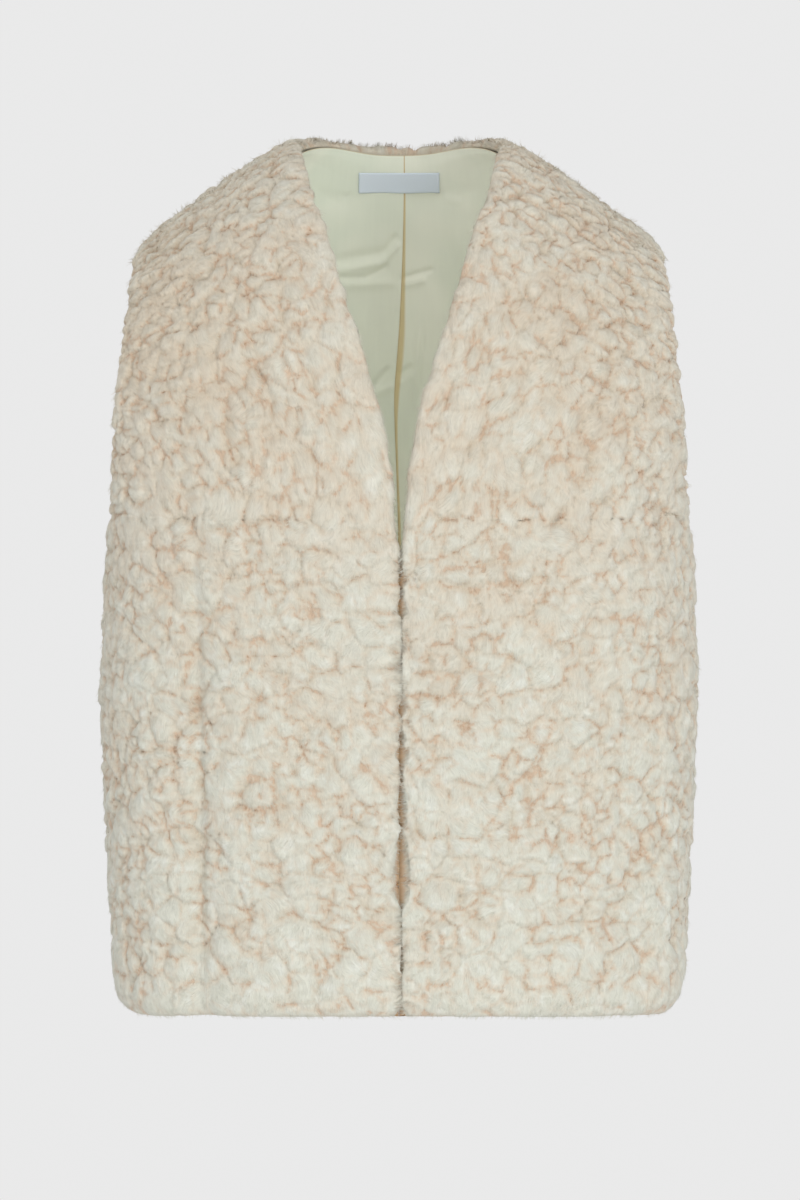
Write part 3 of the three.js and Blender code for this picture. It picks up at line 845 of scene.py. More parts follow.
def row_steps(made):
    """Steps up the cloth at each point, taken over more rows where they lie very close together."""
    place, up = made["place"], made["up"][:, made["up"].shape[1] // 2]
    rows = np.arange(len(up))
    reach = np.where(np.abs(up - STRAIGHT - 4) < 12, 8, 1)
    return place[np.minimum(rows + reach, rows[-1])] - place[np.maximum(rows - reach, 0)]


def clear_reach(across, up, lean_across, lean_up, length, seed):
    """The share of each hair's length that stays inside its own curl."""
    home = curls(across, up, seed)["owner"]
    reach = np.ones(across.shape)
    for share in REACH_STEPS:
        run = length * share
        there = curls(across + lean_across * run, up + lean_up * run, seed)["owner"]
        reach = np.where(there != home, share - REACH_ROOM, reach)
    return np.maximum(reach, SHORTEST)


def cloth_ways(made, row, column):
    """The ways across, up and out of the curls at each root, and the form's own way out."""
    step_across = unit(between(np.gradient(made["place"], axis=1), row, column))
    step_up = unit(between(row_steps(made), row, column))
    way_out = unit(between(made["out"], row, column))
    surface = unit(np.cross(step_across, step_up))
    surface *= np.sign((surface * way_out).sum(axis=1, keepdims=True))
    return step_across, step_up, surface, way_out


def near_edge(distance, lean):
    """How strongly an edge turns the hair at a distance from it."""
    reach, size = lean
    return size * np.exp(-distance / reach)


def combed_lean(panel, at, own, closed, rng):
    """How each hair leans across and up the cloth, as the parts of a unit way."""
    across, up, seed = at["across"], at["up"], CURL_SEED[panel]
    turn = own["turn"] + COMB_SPREAD * own["aside"] / BIG_CURL["across"] + 0.2 * rng.normal(size=up.size)
    lean_across = np.sin(turn) + layered(across, up, seed, LEAN_DRIFT_ACROSS)
    lean_up = -np.cos(turn) + layered(across, up, seed, LEAN_DRIFT_UP) - near_edge(up, HEM_LEAN)
    at_side = near_edge(at["seam"], SIDE_LEAN) * (up < STRAIGHT)
    lean_across += (near_edge(at["armhole"], ARMHOLE_LEAN) + at_side) * np.sign(across)
    lean_up += near_edge(at["seam"], SHOULDER_LEAN) * (up > STRAIGHT)
    if panel == "back":
        lean_up += near_edge(at["opening"], NECK_LEAN)
    else:
        reach = FRONT_LEAN[0] + CLOSED_LEAN[0] * closed
        lean_across -= near_edge(at["opening"], (reach, FRONT_LEAN[1] + CLOSED_LEAN[1] * closed))
    size = np.hypot(lean_across, lean_up)
    return lean_across / size, lean_up / size


def at_neckline(at, combed, length, seed, rng):
    """At the back's neckline the hair stands up and swirls."""
    at_rim = np.exp(-at["opening"] / RIM_REACH)[:, None]
    swirl = layered(at["across"], at["up"], seed, SWIRL) + 0.25 * rng.normal(size=length.size)
    standing = np.stack([swirl, -0.45 + 0 * swirl, 0.8 + 0 * swirl], axis=1)
    turned = unit(combed * (1 - RIM_SHARE * at_rim) + RIM_SHARE * at_rim * unit(standing))
    return turned, length * (1 - 0.45 * at_rim[:, 0])


def at_fronts(panel, at, combed, length, closed, seed):
    """Where the fronts meet the hair bridges the gap, and is shorter where the gap is open."""
    up, opening = at["up"], at["opening"]
    bridging = (closed * np.exp(-(opening / GAP_REACH) ** 2))[:, None]
    slant = -0.35 + 0.5 * noise(up / 5, 0 * up, seed + 65)
    over_gap = np.stack([0 * up - panel_side(panel), -0.22 + 0 * up, slant], axis=1)
    turned = unit(combed * (1 - bridging) + over_gap * bridging)
    at_spot = closed * smooth_step(0.5, 2.5, gap_width(up)) * np.exp(-opening / 7)
    return turned, length * (1 - 0.5 * at_spot)


# %% Hair of each panel


def hair_piece(panel):
    """Roots, combs, cuts and shapes the hair of one panel."""
    made, seed = PANELS[panel], CURL_SEED[panel]
    rng = np.random.default_rng(seed)
    row, column = hair_roots(panel, HAIRS[panel], rng)
    count = row.size
    at = {key: between(made[key], row, column) for key in ROOT_KEYS}
    step_across, step_up, surface, way_out = cloth_ways(made, row, column)
    across, up = at["across"], at["up"]
    own = curls(across, up, seed)
    closed = closed_share(panel, up)
    lean_across, lean_up = combed_lean(panel, at, own, closed, rng)
    combed = unit(step_across * lean_across[:, None] + step_up * lean_up[:, None])

    shortest, longest = HAIR_LENGTH
    longer = np.clip(rng.beta(2, 2.6, count) + 0.15 * np.exp(-up / HEM_LEAN[0]), 0, 1.1)
    length = shortest + (longest - shortest) * longer
    reach = clear_reach(across, up, lean_across, lean_up, length, seed)
    free = (rng.random(count) < CROSSING) | (at["opening"] < FREE_EDGE) | (at["seam"] < FREE_EDGE)
    length *= np.where(free, 1, reach)
    flattest, steepest = HAIR_LIFT
    lift = flattest + (steepest - flattest) * rng.beta(1.4, 3.2, count)
    lift += STRAY_LIFT * rng.random(count) * (rng.random(count) < STRAY_SHARE)
    if panel == "back":
        combed, length = at_neckline(at, combed, length, seed, rng)
    else:
        combed, length = at_fronts(panel, at, combed, length, closed, seed)

    tip = at["place"] + combed * length[:, None] + surface * (0.85 * lift)[:, None] - way_out * 0.3
    start = at["place"] - surface * HAIR_SINK
    width_way = unit(np.cross(combed, surface) + 0.2 * surface * rng.normal(size=(count, 1)))
    width = HAIR_WIDTH * (0.7 + 0.6 * rng.random(count))
    place = np.empty((2, count, 2, 3))
    for level, (point, share) in enumerate(((start, 1.0), (tip, TIP_WIDTH))):
        half = width_way * (0.5 * share * width)[:, None]
        place[level, :, 0] = point - half
        place[level, :, 1] = point + half
    # The hair's roots take the same painted shade as the pile round them.
    told = {"shade": rng.random(count), "parting": own["parting"], "sunk_shade": at["painted_shade_depth"]}
    shaded = unit(surface + 0.25 * combed + 0.12 * rng.normal(size=(count, 3)))
    return blades(panel, place, told, across, up, seed, shaded)


def blades(panel, place, told, across, up, seed, shaded):
    """One mesh of blades, from a grid whose every second face is taken out."""
    count = place.shape[1]
    sheet = bmesh.new()
    bmesh.ops.create_grid(sheet, x_segments=2 * count - 1, y_segments=1, size=1)
    sheet.faces.ensure_lookup_table()
    between_hairs = [face for face in sheet.faces if face.index % 2 == 1]
    bmesh.ops.delete(sheet, geom=between_hairs, context="FACES")
    piece = new_piece(f"hair_{panel}", sheet, place)
    shape = place.shape[:3]
    ways = np.ascontiguousarray(np.broadcast_to(shaded[None, :, None], place.shape))
    face_outward(piece, ways)
    piece.data.normals_split_custom_set_from_vertices(ways.reshape(-1, 3).tolist())
    keep_value(piece, "along", np.broadcast_to(np.array([0, 1.0])[:, None, None], shape))
    for name, values in told.items():
        keep_value(piece, name, np.broadcast_to(values[None, :, None], shape))
    spread = [np.broadcast_to(v[None, :, None], shape) for v in (across, up)]
    keep_place(piece, "cloth", spread[0], spread[1], seed * 100.0)
    return piece


hair_pieces = {panel: hair_piece(panel) for panel in HAIRS}
for panel, piece in hair_pieces.items():
    print(panel, "hair triangles", 2 * len(piece.data.polygons))

# %% [markdown]
# The lining is a smooth, thin satin, sewn in a little smaller than the pile cloth. Down the centre of
# the back it has an ease pleat, so that the back can stretch, and soft creases pull at it below the
# label. All of it is relief on the same form, just inside the backing.

# %% Lining
LINING_INSET = 5.0
NECK_INSET = 0.5
LINING_HEM_RISE = 14.0
LINING_THICK = 0.4
LINING_SLACK = 1.1  # the back lining stands this far off, so that its creases have room
SEAM_EASE = 1.2
SEAM_EASE_REACH = 37.0
PLEAT_RUN = 14.0
PLEAT_STEP = 2.4
PLEAT_TURN = 0.8
LABEL_WIDTH, LABEL_HEIGHT, LABEL_BELOW = 58.5, 14.4, 11.8
LINING_GRIDS = {"front_right": (40, 70), "front_left": (40, 70), "back": (160, 168)}

# Down from the nape: where the pleat's edge lies across, how grown it is, and the width of the painted
# shade beside it
PLEAT = np.array([
    (0, 3.4, 0.1, 0.5), (27, 3.4, 0.25, 1.2), (70, 2.4, 0.7, 2.0), (110, 0.6, 0.9, 3.4),
    (124, -0.2, 1, 4.0), (145, -1.8, 1, 4.2), (167, -3.4, 1, 3.4), (190, -3.2, 1, 2.0),
    (230, -1.8, 1, 1.5), (275, -0.7, 1, 2.0), (620, -3.0, 1, 2.0),
], float)

# Creases of the back lining: from x and z to x and z, how wide and how high, in millimetres
CREASES = [
    (-48, -38, -10, -31, 4.2, -1.9),
    (-11, -31, -2, -18, 2.4, -1.6),
    (-46, -44, -10, -37, 3.4, 1.9),
    (-11, -37, 0, -24, 2.4, 1.7),
    (-45, -48.5, -24, -49, 2.0, -1.5),
    (-25, -49, -8, -40, 2.0, -1.7),
    (-44, -54, -3, -52, 3.8, 1.4),
    (2, -49, 25, -42.5, 1.9, -1.7),
    (4, -53.5, 19, -50, 2.8, 1.4),
    (-21, -129, -7, -113, 2.4, -1.8),
    (-20, -133, -4, -126, 2.8, 1.6),
    (1, -119, 9, -111, 2.0, -1.5),
    (0, -126, 11, -117, 2.8, 1.1),
    (15, -82, 10, -140, 2.2, 1.4),
    (18.5, -90, 14, -138, 2.2, -1.2),
    (6, 3, 60, 14, 7.0, -0.9),
    (-32, 2, -62, 12, 6.0, -0.8),
    (33, 8, 44, 4, 2.2, 0.8),
    (-33, 10, -40, 7, 2.0, -0.8),
    (24, -60, 30, -150, 6.0, 1.0),
    (-30, -75, -22, -120, 7.0, 1.0),
    (34, -20, 48, -60, 6.0, -0.9),
    (-60, -250, -20, -170, 9.0, 1.5),
    (30, -260, 62, -180, 9.0, -1.5),
]


def crease_height(x, z):
    """Soft ridges and troughs, each along a line between two places."""
    height = np.zeros(x.shape)
    for x0, z0, x1, z1, width, high in CREASES:
        run = math.hypot(x1 - x0, z1 - z0)
        ux, uz = (x1 - x0) / run, (z1 - z0) / run
        along = ((x - x0) * ux + (z - z0) * uz) / run
        off = ((x - x0) * uz - (z - z0) * ux) / width
        fade = smooth_step(-0.2, 0.2, along) * (1 - smooth_step(0.85, 1.12, along))
        height += high * fade * np.exp(-off ** 2)
    return height


def pleat_relief(x, drop):
    """The pleat's ridge, the distance from its edge and the width of the painted shade beside it."""
    edge, grown, strip = (read_table(PLEAT, column, drop) for column in (1, 2, 3))
    before = np.clip((x - edge + PLEAT_RUN) / PLEAT_RUN, 0, 1)
    after = 1 - np.clip((x - edge) / PLEAT_TURN, 0, 1)
    ridge = np.where(x <= edge, before ** 3, after)
    return PLEAT_STEP * grown * ridge, x - edge, strip


def lining_seat(below_top):
    """How far the lining's middle lies inside the backing, at a distance down from its top edge."""
    return PLY_GAP + LINING / 2 + SEAM_EASE * np.clip(1 - below_top / SEAM_EASE_REACH, 0, 1)


def lining_stops(panel, columns, rows):
    """Shares across and up; on the back they lie closest at the pleat and below the label."""
    if panel != "back":
        return np.linspace(0, 1, columns), np.linspace(0, 1, rows)
    even = np.linspace(-1, 1, columns)
    across = 0.5 + 0.5 * (0.32 * even + 0.68 * even ** 3)
    return across, np.interp(np.linspace(0, 1, rows), (0, 0.25, 0.78, 1), (0, 0.6, 0.86, 1))


def lining_panel(panel):
    """The lining of one panel, with its pleat and creases as relief on the form."""
    columns, rows = LINING_GRIDS[panel]
    across_shares, up_shares = lining_stops(panel, columns, rows)
    stops = [np.array([0 * shares, shares, 0 * shares + 1]) for shares in (across_shares, up_shares)]
    share, up, top, _ = cloth_grid(panel, *stops)
    length = row_length(side_of(panel), up)
    beyond_armhole = smooth_step(STRAIGHT - 10, STRAIGHT + 12, up)
    side_inset = LINING_INSET * beyond_armhole / length
    if panel == "back":
        share = share * (1 - side_inset)
        top_inset = NECK_INSET * (1 - smooth_step(NECK_SHARE - 0.1, NECK_SHARE, np.abs(share)))
    else:
        inset = LINING_INSET / length
        share = inset + share * (1 - inset - side_inset)
        top_inset = 0
    up = LINING_HEM_RISE + (up - up[0]) * (top - top_inset - LINING_HEM_RISE) / (top - up[0])
    seat = lining_seat(top - up)
    base, _, length = hung(panel, share, up, -seat)
    from_pleat, strip = np.full(up.shape, 99.0), np.ones(up.shape)
    relief = 0.5 * noise(base[..., 0] / 40, base[..., 2] / 60, 81) * smooth_step(20, 60, top - up)
    if panel == "back":
        drop = base[-1, columns // 2, 2] - base[..., 2]
        pleat, from_pleat, strip = pleat_relief(base[..., 0], drop)
        relief = relief + LINING_SLACK + pleat + crease_height(base[..., 0], base[..., 2])
    relief = relief * smooth_step(0, 16, top - up) * smooth_step(0, 12, up - LINING_HEM_RISE)
    place, out, _ = hung(panel, share, up, -(seat + np.clip(relief, -0.9, None)))
    kept_apart(panel, place)
    piece = grid_object(f"satin_{panel}", place)
    for name, values in (("from_pleat", from_pleat), ("shade_strip_width", strip), ("below_top", top - up)):
        keep_value(piece, name, values)
    keep_place(piece, "cloth", share * length, up, 0.0)
    face_outward(piece, -out)
    thicken(piece, LINING_THICK)
    return piece


lining_pieces = {panel: lining_panel(panel) for panel in LINING_GRIDS}
for panel, piece in lining_pieces.items():
    print(panel, "lining triangles", 4 * len(piece.data.polygons))

# %% [markdown]
# The label is a blank woven satin strip that lies flat below the neck seam. Its edges are folded
# under, so they look soft, and its lower edge waves a little where it isn't held.

# %% Label
LABEL_GRID = (58, 22)
LABEL_GAP = 0.35
LABEL_THICK = 0.4
EDGE_SOFT = 0.9
LABEL_WAVE = 0.45
SEARCH_ROUNDS = 12


def lining_row(z, x):
    """Places on the backing of the back panel at given heights, and the ways out there."""
    share = np.zeros(x.shape)
    up = np.full(x.shape, FULL_UP - 200.0)
    for _ in range(SEARCH_ROUNDS):
        place, out, length = hung("back", share, up, np.zeros(x.shape))
        share = share + (x - place[..., 0]) / length
        up = up + (z - place[..., 2])
    return place, out


def make_label():
    """The label on the back lining, centred below the nape."""
    columns, rows = LABEL_GRID
    top_up = float(back_top(np.array(0.0)))
    nape, _, _ = hung("back", np.array(0.0), np.array(top_up), np.array(0.0))
    top_z = float(nape[2]) - LABEL_BELOW
    x, z = np.meshgrid(np.linspace(-0.5, 0.5, columns) * LABEL_WIDTH,
                       top_z - LABEL_HEIGHT * np.linspace(1, 0, rows))
    place, out = lining_row(z, x)
    from_edge = np.minimum(LABEL_WIDTH / 2 - np.abs(x), np.minimum(top_z - z, z - top_z + LABEL_HEIGHT))
    soft = LABEL_THICK * (1 - np.clip(from_edge / EDGE_SOFT, 0, 1)) ** 2
    wave = LABEL_WAVE * np.sin(x / 5.5 + 0.8) * np.exp(-(z - top_z + LABEL_HEIGHT) / 3.0)
    seat = lining_seat(top_z + LABEL_BELOW - z) + LINING_SLACK + LABEL_GAP
    place = place - out * (seat + LABEL_THICK - soft + wave)[..., None]
    piece = grid_object("woven_label", place)
    keep_place(piece, "cloth", x, z, 0.0)
    face_outward(piece, -out)
    thicken(piece, LABEL_THICK)
    return piece, top_z


label_piece, label_top = make_label()
print(f"label from {label_top:.1f} mm down")

# %% [markdown]
# Now the finishes. Helper functions keep the node trees short, and effects that several materials
# share are node groups that are built once. Every size in them is in millimetres of the flat cloth.

# %% Node helpers


def new_material(name):
    material = bpy.data.materials.new(name)
    material.use_nodes = True
    tree = material.node_tree
    shader = next(node for node in tree.nodes if node.type == "BSDF_PRINCIPLED")
    return material, tree, shader


def add(tree, kind, **settings):
    node = tree.nodes.new(kind)
    for key, value in settings.items():
        setattr(node, key, value)
    return node


def connect(tree, source, target):
    tree.links.new(source, target)


def fill(tree, socket, value):
    """Links a socket, or sets its own value."""
    if isinstance(value, bpy.types.NodeSocket):
        connect(tree, value, socket)
    else:
        socket.default_value = value


def set_values(node, **values):
    """Sets a node's own values; an underscore stands for the space in a socket's name."""
    for name, value in values.items():
        node.inputs[name.replace("_", " ")].default_value = value


def math_node(tree, operation, *values, clamp=False):
    node = add(tree, "ShaderNodeMath", operation=operation, use_clamp=clamp)
    for socket, value in zip(node.inputs, values):
        fill(tree, socket, value)
    return node.outputs[0]


def times(tree, first, second):
    return math_node(tree, "MULTIPLY", first, second)


def plus(tree, first, second, clamp=False):
    return math_node(tree, "ADD", first, second, clamp=clamp)


def stored(tree, name, output="Fac"):
    """A number or a place that was kept on the mesh."""
    return add(tree, "ShaderNodeAttribute", attribute_name=name).outputs[output]


def part_of(tree, vector, axis):
    node = add(tree, "ShaderNodeSeparateXYZ")
    connect(tree, vector, node.inputs[0])
    return node.outputs[axis]


def noise_node(tree, place, spread, detail=3.0, roughness=0.55, distortion=0.0):
    """Noise on a place, finer where the spread along a direction is greater."""
    stretch = add(tree, "ShaderNodeVectorMath", operation="MULTIPLY")
    connect(tree, place, stretch.inputs[0])
    stretch.inputs[1].default_value = spread
    node = add(tree, "ShaderNodeTexNoise")
    connect(tree, stretch.outputs[0], node.inputs["Vector"])
    set_values(node, Scale=1.0, Detail=detail, Roughness=roughness, Distortion=distortion)
    return node.outputs["Fac"]


def remap(tree, value, low, high, new_low=0.0, new_high=1.0, smooth=True):
    node = add(tree, "ShaderNodeMapRange", interpolation_type="SMOOTHSTEP" if smooth else "LINEAR")
    fill(tree, node.inputs["Value"], value)
    set_values(node, From_Min=low, From_Max=high, To_Min=new_low, To_Max=new_high)
    return node.outputs["Result"]


def mix_colour(tree, share, first, second, blend="MIX"):
    node = add(tree, "ShaderNodeMix", data_type="RGBA", blend_type=blend)
    fill(tree, node.inputs["Factor"], share)
    fill(tree, node.inputs[6], first)
    fill(tree, node.inputs[7], second)
    return node.outputs[2]


def mix_value(tree, share, first, second):
    node = add(tree, "ShaderNodeMix", data_type="FLOAT")
    fill(tree, node.inputs["Factor"], share)
    fill(tree, node.inputs["A"], first)
    fill(tree, node.inputs["B"], second)
    return node.outputs["Result"]


def bump(tree, shader, height, distance, strength):
    """Fine relief on a shader, with its height in millimetres."""
    node = add(tree, "ShaderNodeBump")
    connect(tree, height, node.inputs["Height"])
    set_values(node, Distance=distance * MM, Strength=strength)
    connect(tree, node.outputs["Normal"], shader.inputs["Normal"])


def multiplied(tree, base, shade):
    return mix_colour(tree, 1.0, base, shade, blend="MULTIPLY")


def new_group(name, inputs, outputs):
    group = bpy.data.node_groups.new(name, "ShaderNodeTree")
    for label, kind in inputs:
        group.interface.new_socket(name=label, in_out="INPUT", socket_type=kind)
    for label, kind in outputs:
        group.interface.new_socket(name=label, in_out="OUTPUT", socket_type=kind)
    return group, group.nodes.new("NodeGroupInput"), group.nodes.new("NodeGroupOutput")


def use_group(tree, group, **values):
    node = add(tree, "ShaderNodeGroup", node_tree=group)
    for label, value in values.items():
        fill(tree, node.inputs[label], value)
    return node


# %% Colours, as the eye reads them


def colour(red, green, blue):
    """A colour given as 0-255 screen values, turned into the linear values that shaders use."""
    linear = []
    for part in (red, green, blue):
        share = part / 255
        linear.append(share / 12.92 if share <= 0.04045 else ((share + 0.055) / 1.055) ** 2.4)
    return (*linear, 1.0)


CREAM = colour(216, 216, 203)
CREAM_LIGHT = colour(224, 225, 215)
BLUSH = colour(214, 202, 183)
# Tan of the partings: partly the roots' own colour, partly painted shade.
PARTING_TAN_AND_SHADE = colour(204, 168, 138)
# Painted shade where the pile lies low.
SUNK_SHADE_TAN = colour(209, 190, 164)
# The turned-in cloth deep in the gap: partly its own tan, partly painted shade.
GAP_SHADE_BROWN = colour(206, 164, 118)
# Painted shade in the deepest part of a parting.
PARTING_DEEP_SHADE = colour(150, 112, 80)
TURNED_IN = colour(208, 196, 176)
SATIN = colour(252, 252, 238)
# Random grey in the satin, and painted shade on one side of the back lining.
SATIN_GREY_AND_SHADE = colour(232, 238, 222)
# Painted shade in the pleat's fold.
PLEAT_SHADE_STRIP = colour(228, 208, 160)
# The painted shadow of the pleat's folded edge, and the lining's own seam line at the top.
PLEAT_SHADOW_AND_SEAM_TAN = colour(192, 164, 112)
LABEL_BLUE = colour(228, 238, 250)
STUDIO = colour(243, 243, 243)

# %% Tint and painted shade of the pile, shared by the cloth and its hair

# Each noise over the cloth: cells to a millimetre across, up and out, detail, roughness
TINT_NOISE = {
    "wide": ((0.02, 0.02, 0.02), 2.0, 0.55),
    "patch": ((0.09, 0.07, 0.09), 3.0, 0.55),
    "broken": ((0.075, 0.1, 0.1), 2.0, 0.55),
    "fray": ((0.3, 0.25, 0.3), 3.0, 0.6),
}
CLOUD_TOP, CLOUD_FOOT = (480.0, 0.34), (40.0, -0.22)  # height up the cloth, and how much blush it adds
HALO_REACH, LINE_REACH, DEEP_REACH = 4.6, 1.25, 0.35  # how far from a parting each tint reaches
LINE_SHARE, DEEP_SHARE = 0.48, 0.7
# Painted shade: the lower the pile lies in this range, the more tan, up to this share.
SUNK_SHADE_RANGE = (1.5, 7.0)
SUNK_SHADE_SHARE = 0.36


def make_pile_tint_and_shade():
    """Blush clouds; blush round the partings and tan in them, partly the roots' own colour and partly
    painted shade; painted shade where the pile lies low; all from the place on the cloth.
    """
    group, given, result = new_group(
        "pile_tint_and_shade",
        [("Cloth", "NodeSocketVector"), ("Parting", "NodeSocketFloat"), ("SunkShade", "NodeSocketFloat")],
        [("Color", "NodeSocketColor"), ("Depth", "NodeSocketFloat")])
    cloth = given.outputs["Cloth"]
    field = {name: noise_node(group, cloth, *row) for name, row in TINT_NOISE.items()}
    patch, broken = field["patch"], field["broken"]
    near = plus(group, given.outputs["Parting"], remap(group, field["fray"], 0.3, 0.7, -0.7, 0.5))
    (top, more), (foot, less) = CLOUD_TOP, CLOUD_FOOT
    by_height = remap(group, part_of(group, cloth, "Y"), foot, top, less, more)
    clouds = remap(group, field["wide"], 0.42, 0.66, 0.0, 0.32)
    cloud = plus(group, clouds, remap(group, patch, 0.45, 0.72, 0.0, 0.25))
    cloud = plus(group, cloud, by_height, clamp=True)
    # Round a parting: the blush halo and the tan line are partly the roots' own colour and partly painted
    # shade; the deep core is painted shade.
    halo = times(group, remap(group, near, HALO_REACH, 0.3), remap(group, broken, 0.36, 0.6, 0.25, 1.0))
    line = times(group, remap(group, near, LINE_REACH, 0.1), remap(group, broken, 0.42, 0.56))
    deep = times(group, remap(group, near, DEEP_REACH, -0.5), remap(group, patch, 0.5, 0.64))
    deep = times(group, deep, line)
    # Painted shade, more tan where the pile lies lower.
    sunk_shade = remap(group, given.outputs["SunkShade"], *SUNK_SHADE_RANGE, 0.0, SUNK_SHADE_SHARE)
    tinted = mix_colour(group, remap(group, patch, 0.5, 0.3), CREAM, CREAM_LIGHT)
    layers = [
        (cloud, BLUSH), (halo, BLUSH), (sunk_shade, SUNK_SHADE_TAN),
        (times(group, line, LINE_SHARE), PARTING_TAN_AND_SHADE), (times(group, deep, DEEP_SHARE), PARTING_DEEP_SHADE),
    ]
    for share, tan in layers:
        tinted = mix_colour(group, share, tinted, tan)
    connect(group, tinted, result.inputs["Color"])
    connect(group, line, result.inputs["Depth"])
    return group


PILE_TINT_AND_SHADE = make_pile_tint_and_shade()


def pile_tint_and_shade(tree, cloth):
    """The tint and painted shade at a place on the cloth, from what is kept on the mesh."""
    told = {"Parting": stored(tree, "parting"), "SunkShade": stored(tree, "sunk_shade")}
    return use_group(tree, PILE_TINT_AND_SHADE, Cloth=cloth, **told)


def make_pile_material():
    """Curly pile: partings tinted and painted with shade, painted shade in the gap between the fronts, and
    locks and fibres that follow each curl's combing.
    """
    material, tree, shader = new_material("curly_pile")
    cloth = stored(tree, "cloth", "Vector")
    combed = stored(tree, "combed", "Vector")
    tint = pile_tint_and_shade(tree, cloth)
    inside = stored(tree, "inside")
    inner = remap(tree, stored(tree, "curl_edge"), 1.6, 4.0)
    plain_locks = noise_node(tree, cloth, (0.5, 0.2, 1.0), distortion=0.8)
    plain_fibre = noise_node(tree, cloth, (1.6, 0.4, 1.0), distortion=0.8)
    combed_locks = noise_node(tree, combed, (0.75, 0.13, 1.0), distortion=0.6)
    combed_fibre = noise_node(tree, combed, (2.2, 0.3, 1.0), distortion=0.5)
    locks = mix_value(tree, inner, plain_locks, combed_locks)
    fibre = mix_value(tree, inner, plain_fibre, combed_fibre)
    shade = remap(tree, plus(tree, locks, fibre), 0.7, 1.3, 0.9, 1.07, smooth=False)
    shaded = multiplied(tree, tint.outputs["Color"], shade)
    shown = mix_colour(tree, inside, shaded, TURNED_IN)
    # Painted shade: brown on the turned-in cloth in the gap between the fronts.
    shown = mix_colour(tree, stored(tree, "gap"), shown, GAP_SHADE_BROWN)
    connect(tree, shown, shader.inputs["Base Color"])
    height = plus(tree, locks, times(tree, fibre, 0.5))
    height = math_node(tree, "SUBTRACT", height, times(tree, tint.outputs["Depth"], 0.4))
    bump(tree, shader, height, 1.3, 0.7)
    set_values(shader, Roughness=0.92, Specular_IOR_Level=0.15, Sheen_Weight=0.2, Sheen_Roughness=0.6)
    return material


def make_hair_material():
    """Loose hair: the cloth's tint and painted shade at the root, paler towards the tip."""
    material, tree, shader = new_material("loose_pile_hair")
    cloth = stored(tree, "cloth", "Vector")
    tint = pile_tint_and_shade(tree, cloth)
    along = stored(tree, "along")
    shade = stored(tree, "shade")
    tip = mix_colour(tree, remap(tree, shade, 0.2, 0.9), CREAM, CREAM_LIGHT)
    mixed = mix_colour(tree, remap(tree, along, 0.0, 1.0, 0.0, 0.4), tint.outputs["Color"], tip)
    level = remap(tree, shade, 0.0, 1.0, 0.96, 1.04, smooth=False)
    connect(tree, multiplied(tree, mixed, level), shader.inputs["Base Color"])
    set_values(shader, Roughness=0.8, Specular_IOR_Level=0.2, Sheen_Weight=0.15, Sheen_Roughness=0.5)
    return material


def make_satin_material():
    """Plain satin: very fine warp threads, a slight soft sheen, painted shade beside the pleat and a
    painted shadow along its folded edge, a tan seam line at the top, and painted shade on one side of the
    back.
    """
    material, tree, shader = new_material("lining_satin")
    cloth = stored(tree, "cloth", "Vector")
    from_pleat = stored(tree, "from_pleat")
    across_strip = math_node(tree, "DIVIDE", from_pleat, stored(tree, "shade_strip_width"))
    # Painted shade: a warm strip beside the pleat, and a painted shadow line along its folded edge.
    strip = times(tree, remap(tree, across_strip, -0.05, 0.12), remap(tree, across_strip, 1.35, 0.75))
    pleat_shadow_line = times(tree, remap(tree, from_pleat, -0.2, 0.15), remap(tree, from_pleat, 1.0, 0.4))
    seam = remap(tree, stored(tree, "below_top"), 1.6, 0.4)
    slub = noise_node(tree, cloth, (0.25, 0.02, 0.25), detail=4.0)
    thread = noise_node(tree, cloth, (4.0, 0.35, 4.0), detail=2.0)
    wide = noise_node(tree, cloth, (0.012, 0.012, 0.012), detail=2.0)
    # Painted shade: the back lining is painted more grey towards the wearer's right; the rest of the grey
    # is random.
    shaded_side = remap(tree, part_of(tree, cloth, "X"), 30.0, -40.0, 0.0, 0.5)
    greyer_and_shaded = plus(tree, remap(tree, wide, 0.35, 0.65, 0.0, 0.5), shaded_side)
    base = mix_colour(tree, greyer_and_shaded, SATIN, SATIN_GREY_AND_SHADE)
    lines = ((strip, 0.9, PLEAT_SHADE_STRIP), (pleat_shadow_line, 0.5, PLEAT_SHADOW_AND_SEAM_TAN), (seam, 0.6, PLEAT_SHADOW_AND_SEAM_TAN))
    for mask, share, warm in lines:
        base = mix_colour(tree, times(tree, mask, share), base, warm)
    shade = remap(tree, slub, 0.3, 0.7, 0.99, 1.01, smooth=False)
    connect(tree, multiplied(tree, base, shade), shader.inputs["Base Color"])
    roughness = remap(tree, thread, 0.3, 0.7, 0.5, 0.62, smooth=False)
    connect(tree, roughness, shader.inputs["Roughness"])
    height = plus(tree, thread, times(tree, slub, 1.5))
    bump(tree, shader, height, 0.12, 0.5)
    set_values(shader, Specular_IOR_Level=0.3, Sheen_Weight=0.15)
    return material


